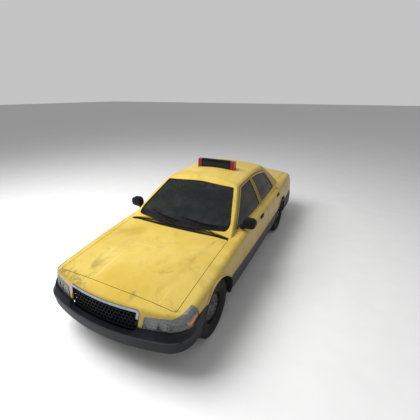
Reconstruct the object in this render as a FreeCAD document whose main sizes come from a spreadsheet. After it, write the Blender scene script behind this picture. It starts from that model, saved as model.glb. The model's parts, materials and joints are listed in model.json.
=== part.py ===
import FreeCAD
import Part

import math
import os
import re

# A full-size four-door taxi cab, a sedan body on a separate frame, in millimetres.
# +X is the cab's left side, -Y its front and +Z up. The origin is on the ground, at the middle of the
# overall length. Every node is written to parts/NODE.step.

Vector = FreeCAD.Vector
X_AXIS, Y_AXIS, Z_AXIS = Vector(1, 0, 0), Vector(0, 1, 0), Vector(0, 0, 1)

doc = FreeCAD.newDocument("taxi_cab")

# ---------------------------------------------------------------- driving sizes
# name: (value, what it is)
SIZES = {
    "overall_length": (5260, "bumper to bumper"),
    "front_axle": (-1730, "front wheel centres, along Y"),
    "wheelbase": (3025, "front to rear wheel centres"),
    "front_track": (1604, "between front wheel centres"),
    "rear_track": (1666, "between rear wheel centres"),
    "tyre_radius": (355, "unloaded tyre, 235/65 R16"),
    "tyre_width": (235, "tyre section"),
    "rim_radius": (203.2, "16 inch bead seat"),
    "rim_width": (178, "7 inch rim"),
    "kingpin": (725, "steering axis from the centreline"),
    "arch_radius": (398, "wheel arch lip"),
    "shut_gap": (6, "gap round a door, hood or lid"),
    "skin": (28, "outer and inner panel of a hood, fender or lid"),
    "glass": (5, "thickness of the glass"),
    "side_wall": (770, "inner face of the body sides"),
    "door_inner": (810, "inner face of the doors below the belt"),
    "frame_depth": (36, "thickness of a door's window frame"),
    "pillar_depth": (76, "thickness of pillars and roof rails"),
    "belt": (930, "height of the belt line"),
    "tumblehome": (24, "lean of the side glass, degrees"),
    "belt_half": (845, "half width of the doors' reference plane at the belt"),
    "door_bottom": (300, "lower edge of the doors"),
    "door_front": (-985, "front edge of the front door"),
    "door_split": (240, "middle of the gap between the doors"),
    "hood_half": (790, "half width of the hood"),
    "ground": (245, "underside of the sills"),
    "engine_length": (700, "plain engine block"),
    "engine_width": (540, ""),
    "engine_height": (420, ""),
    "engine_front": (-2020, "front face, along Y"),
    "engine_floor": (340, "underside"),
    "tank_length": (260, "fuel tank, along Y"),
    "tank_width": (860, ""),
    "tank_height": (215, ""),
    "tank_front": (1490, ""),
    "tank_floor": (290, ""),
    "sign_length": (540, "roof sign between its end lamps"),
    "sign_height": (128, ""),
    "sign_depth": (130, ""),
    "sign_place": (250, "middle of the roof sign, along Y"),
    "lamp_length": (66, "red lamp at each end of the roof sign"),
}
sizes = doc.addObject("Spreadsheet::Sheet", "Sizes")
for row, (alias, (value, meaning)) in enumerate(SIZES.items(), 1):
    sizes.set(f"A{row}", alias)
    sizes.set(f"B{row}", str(value))
    sizes.set(f"C{row}", meaning)
    sizes.setAlias(f"B{row}", alias)
doc.recompute()


def size(alias):
    return float(sizes.get(alias))


def formula(text):
    """An expression on the sheet's cells, from one on their names."""
    def cell(word):
        return f"Sizes.{word.group()}" if word.group() in SIZES else word.group()
    return re.sub(r"[a-z_]+", cell, text)


FRONT_AXLE = size("front_axle")
REAR_AXLE = FRONT_AXLE + size("wheelbase")
GAP = size("shut_gap")
SKIN = size("skin")
BELT = size("belt")
FAR = 3200  # past the body on every side
nodes = {}


def keep(name, shape_or_object):
    """Registers a sub-part: a document object, or a shape that becomes one."""
    made = shape_or_object
    if not hasattr(made, "TypeId") or isinstance(made, Part.Shape):
        made = doc.addObject("Part::Feature", name)
        made.Shape = shape_or_object.removeSplitter()
    made.Label = name
    nodes[name] = made
    return made


def mirrored(name, source):
    """The same piece on the cab's other side."""
    made = doc.addObject("Part::Mirroring", name)
    made.Source = source
    made.Normal = X_AXIS
    return keep(name, made)


def block(x, y, z):
    """A box from its low and high places along each axis."""
    return Part.makeBox(x[1] - x[0], y[1] - y[0], z[1] - z[0], Vector(x[0], y[0], z[0]))


def both(shape):
    """A shape with its mirror image, fused."""
    return shape.fuse(shape.mirror(Vector(), X_AXIS))


def pair(shape):
    """A shape and its mirror image, as two solids that don't touch."""
    return Part.makeCompound([shape, shape.mirror(Vector(), X_AXIS)])


# ---------------------------------------------------------------- plane geometry
def toward(centre, point, distance):
    """The point at a distance from a centre, on the way to another point."""
    reach = math.dist(centre, point)
    return tuple(c + (p - c) * distance / reach for c, p in zip(centre, point))


def circles_cross(centre_a, radius_a, centre_b, radius_b):
    """Where two circles cross, on the side of the larger first coordinate."""
    apart = math.dist(centre_a, centre_b)
    along = (radius_a**2 - radius_b**2 + apart**2) / (2 * apart)
    aside = math.sqrt(radius_a**2 - along**2)
    unit = [(b - a) / apart for a, b in zip(centre_a, centre_b)]
    middle = [a + along * u for a, u in zip(centre_a, unit)]
    return max((middle[0] + s * aside * unit[1], middle[1] - s * aside * unit[0]) for s in (1, -1))


def arc_middle(centre, start, end):
    """The middle of the short arc round a centre."""
    radius = math.dist(centre, start)
    from_angle = math.atan2(start[1] - centre[1], start[0] - centre[0])
    turn = math.atan2(end[1] - centre[1], end[0] - centre[0]) - from_angle
    middle = from_angle + ((turn + math.pi) % (2 * math.pi) - math.pi) / 2
    return (centre[0] + radius * math.cos(middle), centre[1] + radius * math.sin(middle))


def rounded(corners, grow=0.0, place=lambda u, v: Vector(u, v, 0)):
    """A closed wire from corners (u, v, radius) listed anticlockwise, grown outwards by an amount.
    place turns plane coordinates into a point."""
    count = len(corners)
    moved = []
    for i, (u, v, radius) in enumerate(corners):
        before, after = corners[i - 1], corners[(i + 1) % count]
        into = Vector(u - before[0], v - before[1], 0).normalize()
        out = Vector(after[0] - u, after[1] - v, 0).normalize()
        turn = math.atan2(into.cross(out).z, into.dot(out))
        mitre = Vector(into.y + out.y, -into.x - out.x, 0)
        shift = mitre * (grow / (1 + into.dot(out)))
        grown = radius + grow if turn > 0 else radius - grow
        moved.append((Vector(u, v, 0) + shift, into, out, turn, max(grown, 2.0)))
    edges, ends = [], []
    for corner, into, out, turn, radius in moved:
        reach = radius * math.tan(abs(turn) / 2)
        inner = (out - into).normalize() * (radius / math.cos(turn / 2) - radius)
        start, end = corner - into * reach, corner + out * reach
        ends.append((start, corner + inner, end))
    for i, (start, middle, end) in enumerate(ends):
        edges.append(Part.Arc(*[place(p.x, p.y) for p in (start, middle, end)]).toShape())
        following = ends[(i + 1) % count][0]
        edges.append(Part.makeLine(place(end.x, end.y), place(following.x, following.y)))
    return Part.Wire(edges)


def prism(axis, corners, low, high, grow=0.0):
    """A rounded outline pushed along an axis. The outline is in (y, z) for X, (x, z) for Y, (x, y) for Z."""
    place = {
        "X": lambda u, v: Vector(low, u, v),
        "Y": lambda u, v: Vector(u, low, v),
        "Z": lambda u, v: Vector(u, v, low),
    }[axis]
    way = {"X": X_AXIS, "Y": Y_AXIS, "Z": Z_AXIS}[axis]
    return Part.Face(rounded(corners, grow, place)).extrude(way * (high - low))


def side_prism(corners, reference, lean, outside, inside, taper, grow=0.0):
    """A door-like region of the left side: an outline in (y, z) on a plane that stands at x = reference
    at the belt and leans inwards, from outside it to inside it, narrowing inwards by taper."""
    angle = math.radians(lean)
    out = Vector(math.cos(angle), 0, math.sin(angle))
    up = Vector(-math.sin(angle), 0, math.cos(angle))
    flat = [(y, (z - BELT) / math.cos(angle), radius) for y, z, radius in corners]
    wires = []
    for depth in (outside, -inside):
        start = Vector(reference, 0, BELT) + out * depth
        wires.append(rounded(
            flat, grow + taper * depth, lambda u, v, start=start: start + Y_AXIS * u + up * v))
    return Part.makeLoft(wires, True, True)


# ---------------------------------------------------------------- body surfaces
# lower body, front to rear: y, half width at the crease, crease height, half width at the sill,
# radius above the crease, shoulder radius, height on the centreline, crown radius
LOWER_STATIONS = [
    (-2720, 905, 600, 850, 500, 70, 752, 5200),
    (-2250, 940, 610, 880, 600, 85, 834, 5600),
    (-1618, 968, 620, 905, 700, 95, 908, 6200),
    (-950, 985, 620, 915, 760, 95, 966, 6500),
    (200, 990, 625, 920, 760, 95, 985, 6500),
    (1295, 982, 640, 912, 760, 95, 1010, 6500),
    (2100, 950, 650, 885, 700, 90, 1012, 6200),
    (2720, 905, 650, 850, 600, 80, 985, 5600),
]
# greenhouse, front to rear: y, half width at the belt, height on the centreline, crown radius
UPPER_STATIONS = [
    (-1300, 803, 1392, 2800),
    (-300, 832, 1455, 2800),
    (350, 838, 1486, 2700),
    (1000, 822, 1466, 2700),
    (1900, 770, 1360, 2700),
]
BARREL, RAIL = 2200, 90  # radii of the side glass and of the roof rail
LEAN = 20  # lean of the side glass at the belt, degrees


def closed_section(y, right_half, bottom):
    """A section across the body from the arcs of its left half: (start, middle, end), bottom to top.
    The last arc is the crown, which runs across to the other side."""
    def at(point, side=1):
        return Vector(side * point[0], y, point[1])

    *sides, crown = right_half
    first = sides[0][0]
    edges = [Part.makeLine(at(first, -1), at(first))]
    edges += [Part.Arc(at(a), at(m), at(b)).toShape() for a, m, b in sides]
    edges.append(Part.Arc(at(crown[0]), at(crown[1]), at(crown[0], -1)).toShape())
    edges += [Part.Arc(at(b, -1), at(m, -1), at(a, -1)).toShape() for a, m, b in reversed(sides)]
    return Part.Wire(edges)


def topped(side_centre, side_radius, edge_radius, top, crown_radius, start, inset):
    """The upper side arc, the shoulder or rail arc and the crown, tangent to each other."""
    crown_centre = (0, top - crown_radius)
    side_radius, edge_radius, crown_radius = (r - inset for r in (side_radius, edge_radius, crown_radius))
    edge_centre = circles_cross(
        side_centre, side_radius - edge_radius, crown_centre, crown_radius - edge_radius
    )
    on_side = toward(side_centre, edge_centre, side_radius)
    on_crown = toward(crown_centre, edge_centre, crown_radius)
    return [
        (start, arc_middle(side_centre, start, on_side), on_side),
        (on_side, arc_middle(edge_centre, on_side, on_crown), on_crown),
        (on_crown, (0, crown_centre[1] + crown_radius)),
    ]


def lower_section(y, crease_x, crease_z, sill_x, side_radius, shoulder, top, crown, inset, bottom):
    out = crease_x - sill_x
    sill_radius = (out**2 + (crease_z - size("ground")) ** 2) / (2 * out)
    sill_centre = (crease_x - sill_radius, crease_z)
    low_x = sill_centre[0] + math.sqrt((sill_radius - inset) ** 2 - (crease_z - bottom) ** 2)
    low, crease = (low_x, bottom), (crease_x - inset, crease_z)
    arcs = [(low, arc_middle(sill_centre, low, crease), crease)]
    arcs += topped((crease_x - side_radius, crease_z), side_radius, shoulder, top, crown, crease, inset)
    return closed_section(y, arcs, bottom)


def upper_section(y, belt_x, top, crown, inset, bottom):
    angle = math.radians(LEAN)
    centre = (belt_x - BARREL * math.cos(angle), BELT - BARREL * math.sin(angle))
    low = (centre[0] + math.sqrt((BARREL - inset) ** 2 - (bottom - centre[1]) ** 2), bottom)
    return closed_section(y, topped(centre, BARREL, RAIL, top, crown, low, inset), bottom)


def lower_loft(inset=0.0, bottom=None):
    bottom = size("ground") if bottom is None else bottom
    return Part.makeLoft([lower_section(*s, inset, bottom) for s in LOWER_STATIONS], True, False)


def upper_loft(inset=0.0, bottom=700.0):
    return Part.makeLoft([upper_section(*s, inset, bottom) for s in UPPER_STATIONS], True, False)


# windscreen and rear window surfaces: z, y on the centreline and y at the end of the bow, low and high
WINDSCREEN = ((900, -1225, -1035), (1440, -290, -170))
REAR_WINDOW = ((950, 1700, 1570), (1440, 985, 915))
BOW_END = 900
WEDGE_LOW, WEDGE_HIGH = 640, 1560


def window_wedge(surface, inset):
    """Everything behind the windscreen's surface, or ahead of the rear window's, moved in by an inset."""
    (low_z, *low), (high_z, *high) = surface
    back = -FAR if low[0] > 0 else FAR
    rake = math.atan2(high_z - low_z, abs(high[0] - low[0]))
    shift = math.copysign(inset / math.sin(rake), back)
    wires = []
    for z in (WEDGE_LOW, WEDGE_HIGH):
        share = (z - low_z) / (high_z - low_z)
        middle, end = (a + (b - a) * share + shift for a, b in zip(low, high))
        points = [Vector(-BOW_END, end, z), Vector(0, middle, z), Vector(BOW_END, end, z)]
        corners = [points[2], Vector(BOW_END, back, z), Vector(-BOW_END, back, z), points[0]]
        lines = [Part.makeLine(a, b) for a, b in zip(corners, corners[1:])]
        wires.append(Part.Wire([Part.Arc(*points).toShape()] + lines))
    return Part.makeLoft(wires, True, True)


def end_outline(z, middle, bow, half, corner, back):
    """A plan outline whose front or rear is a wide arc with round corners."""
    way = math.copysign(1, middle)
    bow_centre = (0, middle - way * bow)
    reach = math.sqrt((bow - corner) ** 2 - (half - corner) ** 2)
    corner_centre = (half - corner, bow_centre[1] + way * reach)
    start = toward(bow_centre, corner_centre, bow)
    end = (half, corner_centre[1])
    turn = arc_middle(corner_centre, start, end)

    def at(point, side=1):
        return Vector(side * point[0], point[1], z)

    far = (half, back)
    return Part.Wire([
        Part.Arc(at(start, -1), Vector(0, middle, z), at(start)).toShape(),
        Part.Arc(at(start), at(turn), at(end)).toShape(),
        Part.makeLine(at(end), at(far)),
        Part.makeLine(at(far), at(far, -1)),
        Part.makeLine(at(far, -1), at(end, -1)),
        Part.Arc(at(end, -1), at(turn, -1), at(start, -1)).toShape(),
    ])


# nose and tail: y on the centreline low and high, bow radius, half width and corner radius
NOSE = (-2630, -2455, 2600, 1000, 330)
TAIL = (2580, 2530, 3600, 1000, 300)
END_LOW, END_HIGH = 150, 1100


def end_wedge(ends, inset=0.0):
    low, high, bow, half, corner = ends
    way = math.copysign(1, low)
    rows = [(END_LOW, low), (END_HIGH, high)]
    wires = [
        end_outline(z, y - way * inset, bow - inset, half - inset, corner - inset, -way * FAR)
        for z, y in rows
    ]
    return Part.makeLoft(wires, True, True)


def edges_in(shape, test):
    return [edge for edge in shape.Edges if test(edge.BoundBox)]


def round_edges(shape, radius, test):
    return shape.makeFillet(radius, edges_in(shape, test))


def lower_body():
    body = lower_loft().common(end_wedge(NOSE)).common(end_wedge(TAIL))
    body = round_edges(body, 55, lambda box: box.YMax < -2000 and box.ZMin > 560)
    body = round_edges(body, 40, lambda box: box.YMin > 2200 and box.ZMin > 560)
    return body


def greenhouse(inset=0.0):
    shape = upper_loft(inset).common(window_wedge(WINDSCREEN, inset)).common(window_wedge(REAR_WINDOW, inset))
    if inset:
        return shape
    shape = round_edges(shape, 30, lambda box: box.YMax < -200 and (
        box.ZMin > 705 and box.XMax * box.XMin > 0 or box.ZMin > 1340))
    return round_edges(shape, 55, lambda box: box.YMin > 950 and box.ZMin > 780 and box.YMax < 1895)


LOWER = lower_body()
UPPER = greenhouse()
LOWER_INNER = lower_loft(SKIN, 100).common(end_wedge(NOSE, SKIN)).common(end_wedge(TAIL, SKIN))
OUTER = LOWER.fuse(UPPER)

# ---------------------------------------------------------------- outlines of the openings
FRONT_EDGE, SPLIT, BOTTOM = size("door_front"), size("door_split"), size("door_bottom")
HALF_GAP = GAP / 2 + 0.5
FRONT_REAR, REAR_FRONT = SPLIT - HALF_GAP, SPLIT + HALF_GAP
FRAME_FOOT = 830  # lower end of the window frames, inside the doors
BELT_TOP = 950  # top of the doors' lower parts
REAR_SHOULDER = 1250  # rear end of the rear door at the belt, above a slanting edge that starts at 850, 520
DOORS = {
    # name: (below the belt, above the belt, side window), each (y, z, corner radius), anticlockwise
    "front": (
        [(FRONT_EDGE, BOTTOM, 30), (FRONT_REAR, BOTTOM, 30), (FRONT_REAR, BELT_TOP, 6),
         (FRONT_EDGE, BELT_TOP, 6)],
        [(-930, FRAME_FOOT, 6), (FRONT_REAR, FRAME_FOOT, 6), (FRONT_REAR, 1405, 12), (-262, 1386, 60),
         (-930, 938, 8)],
        [(-862, 950, 12), (SPLIT - 50, 957, 14), (SPLIT - 50, 1370, 22), (-236, 1353, 60)],
    ),
    "rear": (
        [(REAR_FRONT, BOTTOM, 30), (850, BOTTOM, 25), (850, 520, 200), (REAR_SHOULDER, BELT_TOP, 6),
         (REAR_FRONT, BELT_TOP, 6)],
        [(REAR_FRONT, FRAME_FOOT, 6), (1238, FRAME_FOOT, 6), (1238, 985, 30), (965, 1350, 80),
         (600, 1396, 300), (REAR_FRONT, 1405, 12)],
        [(SPLIT + 50, 958, 14), (1166, 975, 16), (942, 1304, 60), (600, 1353, 300), (SPLIT + 50, 1370, 22)],
    ),
}
BELT_HALF, TUMBLE = size("belt_half"), size("tumblehome")
DOOR_REACH = 988 - size("door_inner")
LOWER_TAPER, UPPER_TAPER = 0.18, 0.35
SILL_STEP = 35  # how far the body's door opening is inside the door's edge
APERTURE_REACH = 330


FOOT_RISE = 90


def foot_outline(below):
    """A door's outline below the belt, run on upwards along its edges, so that its taper leaves the top whole."""
    slant = FOOT_RISE * (REAR_SHOULDER - 850) / (BELT_TOP - 520)
    return [
        (y + (slant if y == REAR_SHOULDER else 0), z + (FOOT_RISE if z == BELT_TOP else 0), radius)
        for y, z, radius in below
    ]


def door_region(name, grow=0.0):
    """The space of a door, or with grow that of its opening."""
    below, above, _ = DOORS[name]
    low = side_prism(below, 988, 0, 60, DOOR_REACH + grow, LOWER_TAPER, grow)
    high = side_prism(above, BELT_HALF, TUMBLE, 8, size("frame_depth") + 7 + grow, UPPER_TAPER, grow)
    # under the belt the window frame's foot keeps within the tapered edge, so that it can swing out
    swept = side_prism(foot_outline(below), 988, 0, 60, APERTURE_REACH, LOWER_TAPER, grow)
    foot = high.common(swept).common(block((0, FAR), (-FAR, FAR), (0, BELT_TOP + 1)))
    head = high.common(block((0, FAR), (-FAR, FAR), (BELT_TOP - grow, 2000)))
    return low.fuse([foot, head])


def door_aperture(name):
    """The hole through the inner wall of the body side."""
    below, above, _ = DOORS[name]
    low = side_prism(below, 988, 0, 60, APERTURE_REACH, 0, -SILL_STEP)
    high = side_prism(above, BELT_HALF, TUMBLE, 60, APERTURE_REACH, 0, -SILL_STEP)
    return low.fuse(high)


HOOD_HALF = size("hood_half")
HOOD = [(-HOOD_HALF, -2352, 30), (0, -2372, 6000), (HOOD_HALF, -2352, 30), (HOOD_HALF, -1088, 20),
        (0, -1205, 3000), (-HOOD_HALF, -1088, 20)]
LID_HALF, LID_FRONT, LID_REAR_HALF, LID_BOTTOM = 745, 1705, 500, 640
LID_TOP = [(-LID_HALF, LID_FRONT, 40), (LID_HALF, LID_FRONT, 40), (LID_HALF, 2700, 20), (-LID_HALF, 2700, 20)]
LID_REAR = [(-LID_REAR_HALF, LID_BOTTOM, 30), (LID_REAR_HALF, LID_BOTTOM, 30), (LID_REAR_HALF, 905, 30),
            (900, 905, 5), (900, 1200, 5), (-900, 1200, 5), (-900, 905, 5), (-LID_REAR_HALF, 905, 30)]
SCREEN = [(-768, 960, 50), (768, 960, 50), (566, 1366, 45), (0, 1404, 2500), (-566, 1366, 45)]
BACKLIGHT = [(-655, 1022, 70), (655, 1022, 70), (520, 1362, 60), (0, 1400, 2500), (-520, 1362, 60)]
ROOF_HALF = 556


HOOD_SLANT = 0.18  # the hood's edges lean forwards, so that its front edge lifts clear


def hood_region(grow=0.0):
    outline = Part.Face(rounded(HOOD, grow, lambda x, y: Vector(x, y, 500)))
    outline.translate(Vector(0, HOOD_SLANT * 300, 0))
    return outline.extrude(Vector(0, -HOOD_SLANT * 1000, 1000))


def lid_region(grow=0.0):
    top = prism("Z", LID_TOP, 500, 1500, grow)
    return top.common(prism("Y", LID_REAR, LID_FRONT - 50, FAR, grow))


def wheel_cylinder(axle, radius, inner=0.0, outer=1200.0):
    return Part.makeCylinder(radius, outer - inner, Vector(inner, axle, size("tyre_radius")), X_AXIS)


ARCH = size("arch_radius")
BUMPER_TOP, REAR_BUMPER_TOP = 578, 602
NOSE_SEAM = HOOD_HALF  # between nose panel and fender
# the line between the front bumper and the panels above it, seen from the side: it sweeps up behind the lamps
BUMPER_LINE = [(-2800, 300, 5), (-1200, 300, 5), (-1200, 652, 5), (-2150, 652, 300), (-2470, BUMPER_TOP, 300),
               (-2800, BUMPER_TOP, 5)]


def bumper_space(grow=0.0):
    return prism("X", BUMPER_LINE, -1200, 1200, grow)

LEFT_HALF = block((0, FAR), (-FAR, FAR), (0, 2000))

# ---------------------------------------------------------------- hollow body
WALL = size("side_wall")
FIREWALL, SEAT_BACK = -1060, 1560
cabin_low = block((-WALL, WALL), (FIREWALL, SEAT_BACK), (0, 1100)).common(lower_loft(45, 100))
cabin_high = greenhouse(size("pillar_depth"))
engine_bay = LOWER_INNER.common(block((-FAR, FAR), (-FAR, FIREWALL - 60), (0, 2000)))
trunk = LOWER_INNER.common(block((-FAR, FAR), (SEAT_BACK - 20, FAR), (0, 2000)))
under = block((-WALL, WALL), (-FAR, FAR), (0, size("ground") + 5))
SHELL = OUTER.cut([cabin_low, cabin_high, engine_bay, trunk, under])
SKIN_ONLY = LOWER.cut(LOWER_INNER)


SEAM = 1.0  # narrow gap between fixed panels


def headlamp_region(grow=0.0):
    """Both wrap-round headlamps, as seen from the front and cut off along the side."""
    face = [(484, 500, 6), (1010, 500, 6), (1010, 812, 6), (925, 800, 40), (795, 722, 120), (514, 706, 22)]
    side = [(-FAR, 500, 5), (-2150, 500, 5), (-2168, 690, 14), (-2205, 800, 14), (-FAR, 860, 5)]
    lamp = prism("Y", face, -FAR, -2100, grow).common(prism("X", side, 0, FAR, grow))
    return lamp.cut(bumper_space(SEAM - grow))


def tail_lamp_region(grow=0.0):
    face = [(520, 655, 25), (1010, 655, 6), (1010, 900, 6), (560, 900, 40), (520, 860, 40)]
    side = [(2290, 650, 6), (FAR, 640, 5), (FAR, 905, 5), (2300, 905, 40)]
    return prism("Y", face, 2200, FAR, grow).common(prism("X", side, 0, FAR, grow))


GRILLE_OPENING = [(-446, 530, 70), (446, 530, 70), (468, 766, 36), (-468, 766, 36)]


def make_fender():
    zone = block((0, FAR), (-FAR, FRONT_EDGE - GAP), (290, 1200))
    ahead = block((0, NOSE_SEAM + SEAM), (-FAR, -2330), (0, 1200))
    below = bumper_space(SEAM).common(block((0, FAR), (-FAR, FRONT_AXLE), (0, 1000)))
    cowl = block((0, 790), (-1300, FRONT_EDGE), (880, 1200))
    fender = SKIN_ONLY.common(zone).cut([
        ahead, below, cowl, hood_region(GAP), wheel_cylinder(FRONT_AXLE, ARCH), headlamp_region(SEAM)
    ])
    return fender


def biggest(shape):
    return max(shape.Solids, key=lambda solid: solid.Volume)


LIP_WIDTH, LIP_PROUD = 18, 7  # raised lip round a wheel arch


def arch_lip(axle, radius, zone):
    """The raised lip round a wheel arch, on the left side, inside a zone."""
    ring = wheel_cylinder(axle, radius + LIP_WIDTH, 700).cut(wheel_cylinder(axle, radius, 700))
    skin = lower_loft(-LIP_PROUD).cut(lower_loft(SKIN - 4, 100))
    return skin.common(ring).common(zone)


front_lip_zone = block((0, FAR), (-2200, FRONT_EDGE - GAP), (290, 1000)).cut(bumper_space(SEAM).common(
    block((0, FAR), (-FAR, FRONT_AXLE), (0, 1000))))
fender = biggest(make_fender()).fuse(arch_lip(FRONT_AXLE, ARCH, front_lip_zone))
fender_left = keep("fender_left", biggest(fender))
mirrored("fender_right", fender_left)

nose_zone = block((-NOSE_SEAM, NOSE_SEAM), (-FAR, -2300), (BUMPER_TOP + SEAM, 1200)).cut(bumper_space(SEAM))
lamps_both = both(headlamp_region(SEAM))
keep("nose_panel", biggest(SKIN_ONLY.common(nose_zone).cut(
    [hood_region(GAP), lamps_both, prism("Y", GRILLE_OPENING, -FAR, -2300, SEAM)])))
keep("hood", biggest(SKIN_ONLY.common(hood_region())))
keep("trunk_lid", biggest(SKIN_ONLY.common(lid_region())))

lamp_depth = LOWER.cut(lower_loft(90, 100).common(end_wedge(NOSE, 90)).common(end_wedge(TAIL, 90)))
# amber strip low in the wrap-round end of each headlamp
MARKER = [(-2425, 612, 10), (-2186, 668, 8), (-2192, 712, 12), (-2425, 652, 10)]


def marker_region(grow=0.0):
    return prism("X", MARKER, 700, 1100, grow).cut(bumper_space(6 - grow))


lamp_solid = lamp_depth.common(headlamp_region())
keep("headlamps", pair(biggest(lamp_solid.cut(marker_region(SEAM)))))
keep("marker_lamps", pair(biggest(lamp_solid.common(marker_region()))))
keep("tail_lamps", pair(biggest(lamp_depth.common(tail_lamp_region()))))

# body side: pillars, sill, roof rail and rear quarter in one pressing
side_zone = block((0, FAR), (FIREWALL, FAR), (0, 2000))
roof_zone = block((0, ROOF_HALF + SEAM), (-400, 1110), (1250, 2000))
deck_zone = block((0, 640), (1400, 1730), (900, 1100))
tail_zone = block((0, LID_REAR_HALF + 8), (2400, FAR), (0, 900))
behind_wheel = block((0, FAR), (REAR_AXLE, FAR), (0, REAR_BUMPER_TOP + SEAM))
front_skin = LOWER.common(block((0, FAR), (-FAR, FRONT_EDGE - GAP), (0, 2000)))
front_skin = front_skin.cut(lower_loft(SKIN + 6, 100))
body_side = SHELL.common(side_zone).cut([
    roof_zone, deck_zone, tail_zone, behind_wheel, front_skin,
    door_region("front", GAP), door_region("rear", GAP),
    door_aperture("front"), door_aperture("rear"), wheel_cylinder(REAR_AXLE, ARCH - 6), lid_region(GAP),
    tail_lamp_region(SEAM), prism("Y", SCREEN, -FAR, 0), prism("Y", BACKLIGHT, 600, FAR),
])
rear_lip_zone = block((0, FAR), (900, 2000), (size("ground"), 1000)).cut(
    block((0, FAR), (REAR_AXLE, FAR), (0, REAR_BUMPER_TOP + SEAM)))
body_side = biggest(body_side).fuse(arch_lip(REAR_AXLE, ARCH - 6, rear_lip_zone))
body_side_left = keep("body_side_left", biggest(body_side))
mirrored("body_side_right", body_side_left)

for door in DOORS:
    below, above, window = DOORS[door]
    hole = side_prism(window, BELT_HALF, TUMBLE, 60, 120, 0)
    solid = OUTER.common(door_region(door)).cut([hole, cabin_high])
    left = keep(f"door_{door}_left", biggest(solid))
    mirrored(f"door_{door}_right", left)
    pane = upper_loft(12).common(side_prism(window, BELT_HALF, TUMBLE, 60, 120, 0))
    pane = pane.cut(upper_loft(12 + size("glass")))
    left = keep(f"door_glass_{door}_left", biggest(pane.common(LEFT_HALF)))
    mirrored(f"door_glass_{door}_right", left)

roof = OUTER.common(block((-ROOF_HALF, ROOF_HALF), (-400, 1110), (1250, 2000))).cut(greenhouse(SKIN))
keep("roof", biggest(roof.cut([prism("Y", SCREEN, -FAR, 0), prism("Y", BACKLIGHT, 600, FAR)])))


def pane(surface, outline, near, far):
    """Glass between two insets of a window's surface, in its outline."""
    slab = window_wedge(surface, 6).cut(window_wedge(surface, 6 + size("glass")))
    return slab.common(prism("Y", outline, near, far, -SEAM))


keep("windscreen", pane(WINDSCREEN, SCREEN, -1500, 0))
keep("rear_window", pane(REAR_WINDOW, BACKLIGHT, 600, 2000))


deck = LOWER.cut(lower_loft(SKIN, 100)).common(block((-640 + SEAM, 640 - SEAM), (1400, 1730), (900, 1100)))
keep("rear_deck", biggest(deck.cut([lid_region(GAP), window_wedge(REAR_WINDOW, -SEAM)])))
tail = LOWER.common(block((-LID_REAR_HALF - 6, LID_REAR_HALF + 6), (2400, FAR), (330, 900))).cut(LOWER_INNER)
keep("tail_panel", biggest(tail.cut([lid_region(GAP), both(tail_lamp_region(SEAM))])))
cowl = SKIN_ONLY.common(block((-789, 789), (-1300, FIREWALL + 140), (880, 1200)))
keep("cowl", biggest(cowl.cut([hood_region(GAP), window_wedge(WINDSCREEN, -2)])))

# ---------------------------------------------------------------- bumpers
# height, y on the centreline, half width
FRONT_BUMPER = [
    (362, -2600, 930), (384, -2618, 946), (508, -2630, 958), (520, -2628, 958), (BUMPER_TOP, -2585, 955),
    (654, -2560, 953),
]
REAR_BUMPER = [
    (262, 2590, 940), (320, 2624, 952), (450, 2630, 956), (540, 2623, 952), (REAR_BUMPER_TOP, 2600, 946),
]
BUMPER_WALL = 55


def bumper_hull(stations, bow, corner, inset=0.0):
    rows = []
    for z, y, half in stations:
        way = math.copysign(1, y)
        rows.append(end_outline(z, y - way * inset, bow - inset, half - inset, corner - inset, -way * FAR))
    return Part.makeLoft(rows, True, True)


def bumper(name, stations, bow, corner, axle):
    top = stations[-1][0]
    inner = [(z, y, half) for z, y, half in stations]
    inner[0] = (100, *stations[0][1:])
    inner[-1] = (top - 20, *stations[-1][1:])
    way = math.copysign(1, stations[0][1])
    zone = block((-FAR, FAR), (-FAR, axle) if way < 0 else (axle, FAR), (0, top))
    zone = zone.common(bumper_space()) if way < 0 else zone
    shell = bumper_hull(stations, bow, corner).cut(bumper_hull(inner, bow, corner, BUMPER_WALL)).common(zone)
    wheels = both(wheel_cylinder(axle, ARCH))
    plate = [Part.makeCylinder(3.4, 400, Vector(x, way * 2400, 400), Y_AXIS * way) for x in (-89, 89)]
    fittings = [prism("Y", GRILLE_OPENING, -FAR, -2300, SEAM)]
    fittings += [block((-508, 508), (2350, FAR), (330, 900)).common(LOWER)]
    return keep(name, biggest(shell.cut([wheels, LOWER_INNER] + fittings + plate)))


bumper("bumper_front", FRONT_BUMPER, 2600, 265, FRONT_AXLE)
bumper("bumper_rear", REAR_BUMPER, 3600, 300, REAR_AXLE)

# ---------------------------------------------------------------- grille and mirrors
def nose_layer(near, far):
    """Between two insets of the nose surface."""
    return end_wedge(NOSE, near).cut(end_wedge(NOSE, far))


def grille_ring(wall):
    return prism("Y", GRILLE_OPENING, -FAR, -2300).cut(prism("Y", GRILLE_OPENING, -FAR, -2300, -wall))


CELL, CELL_GAP = 44, 7  # honeycomb: pitch across the flats and the wall between cells
MESH_HALF, MESH_LOW, MESH_HIGH = 470, 524, 772


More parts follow.
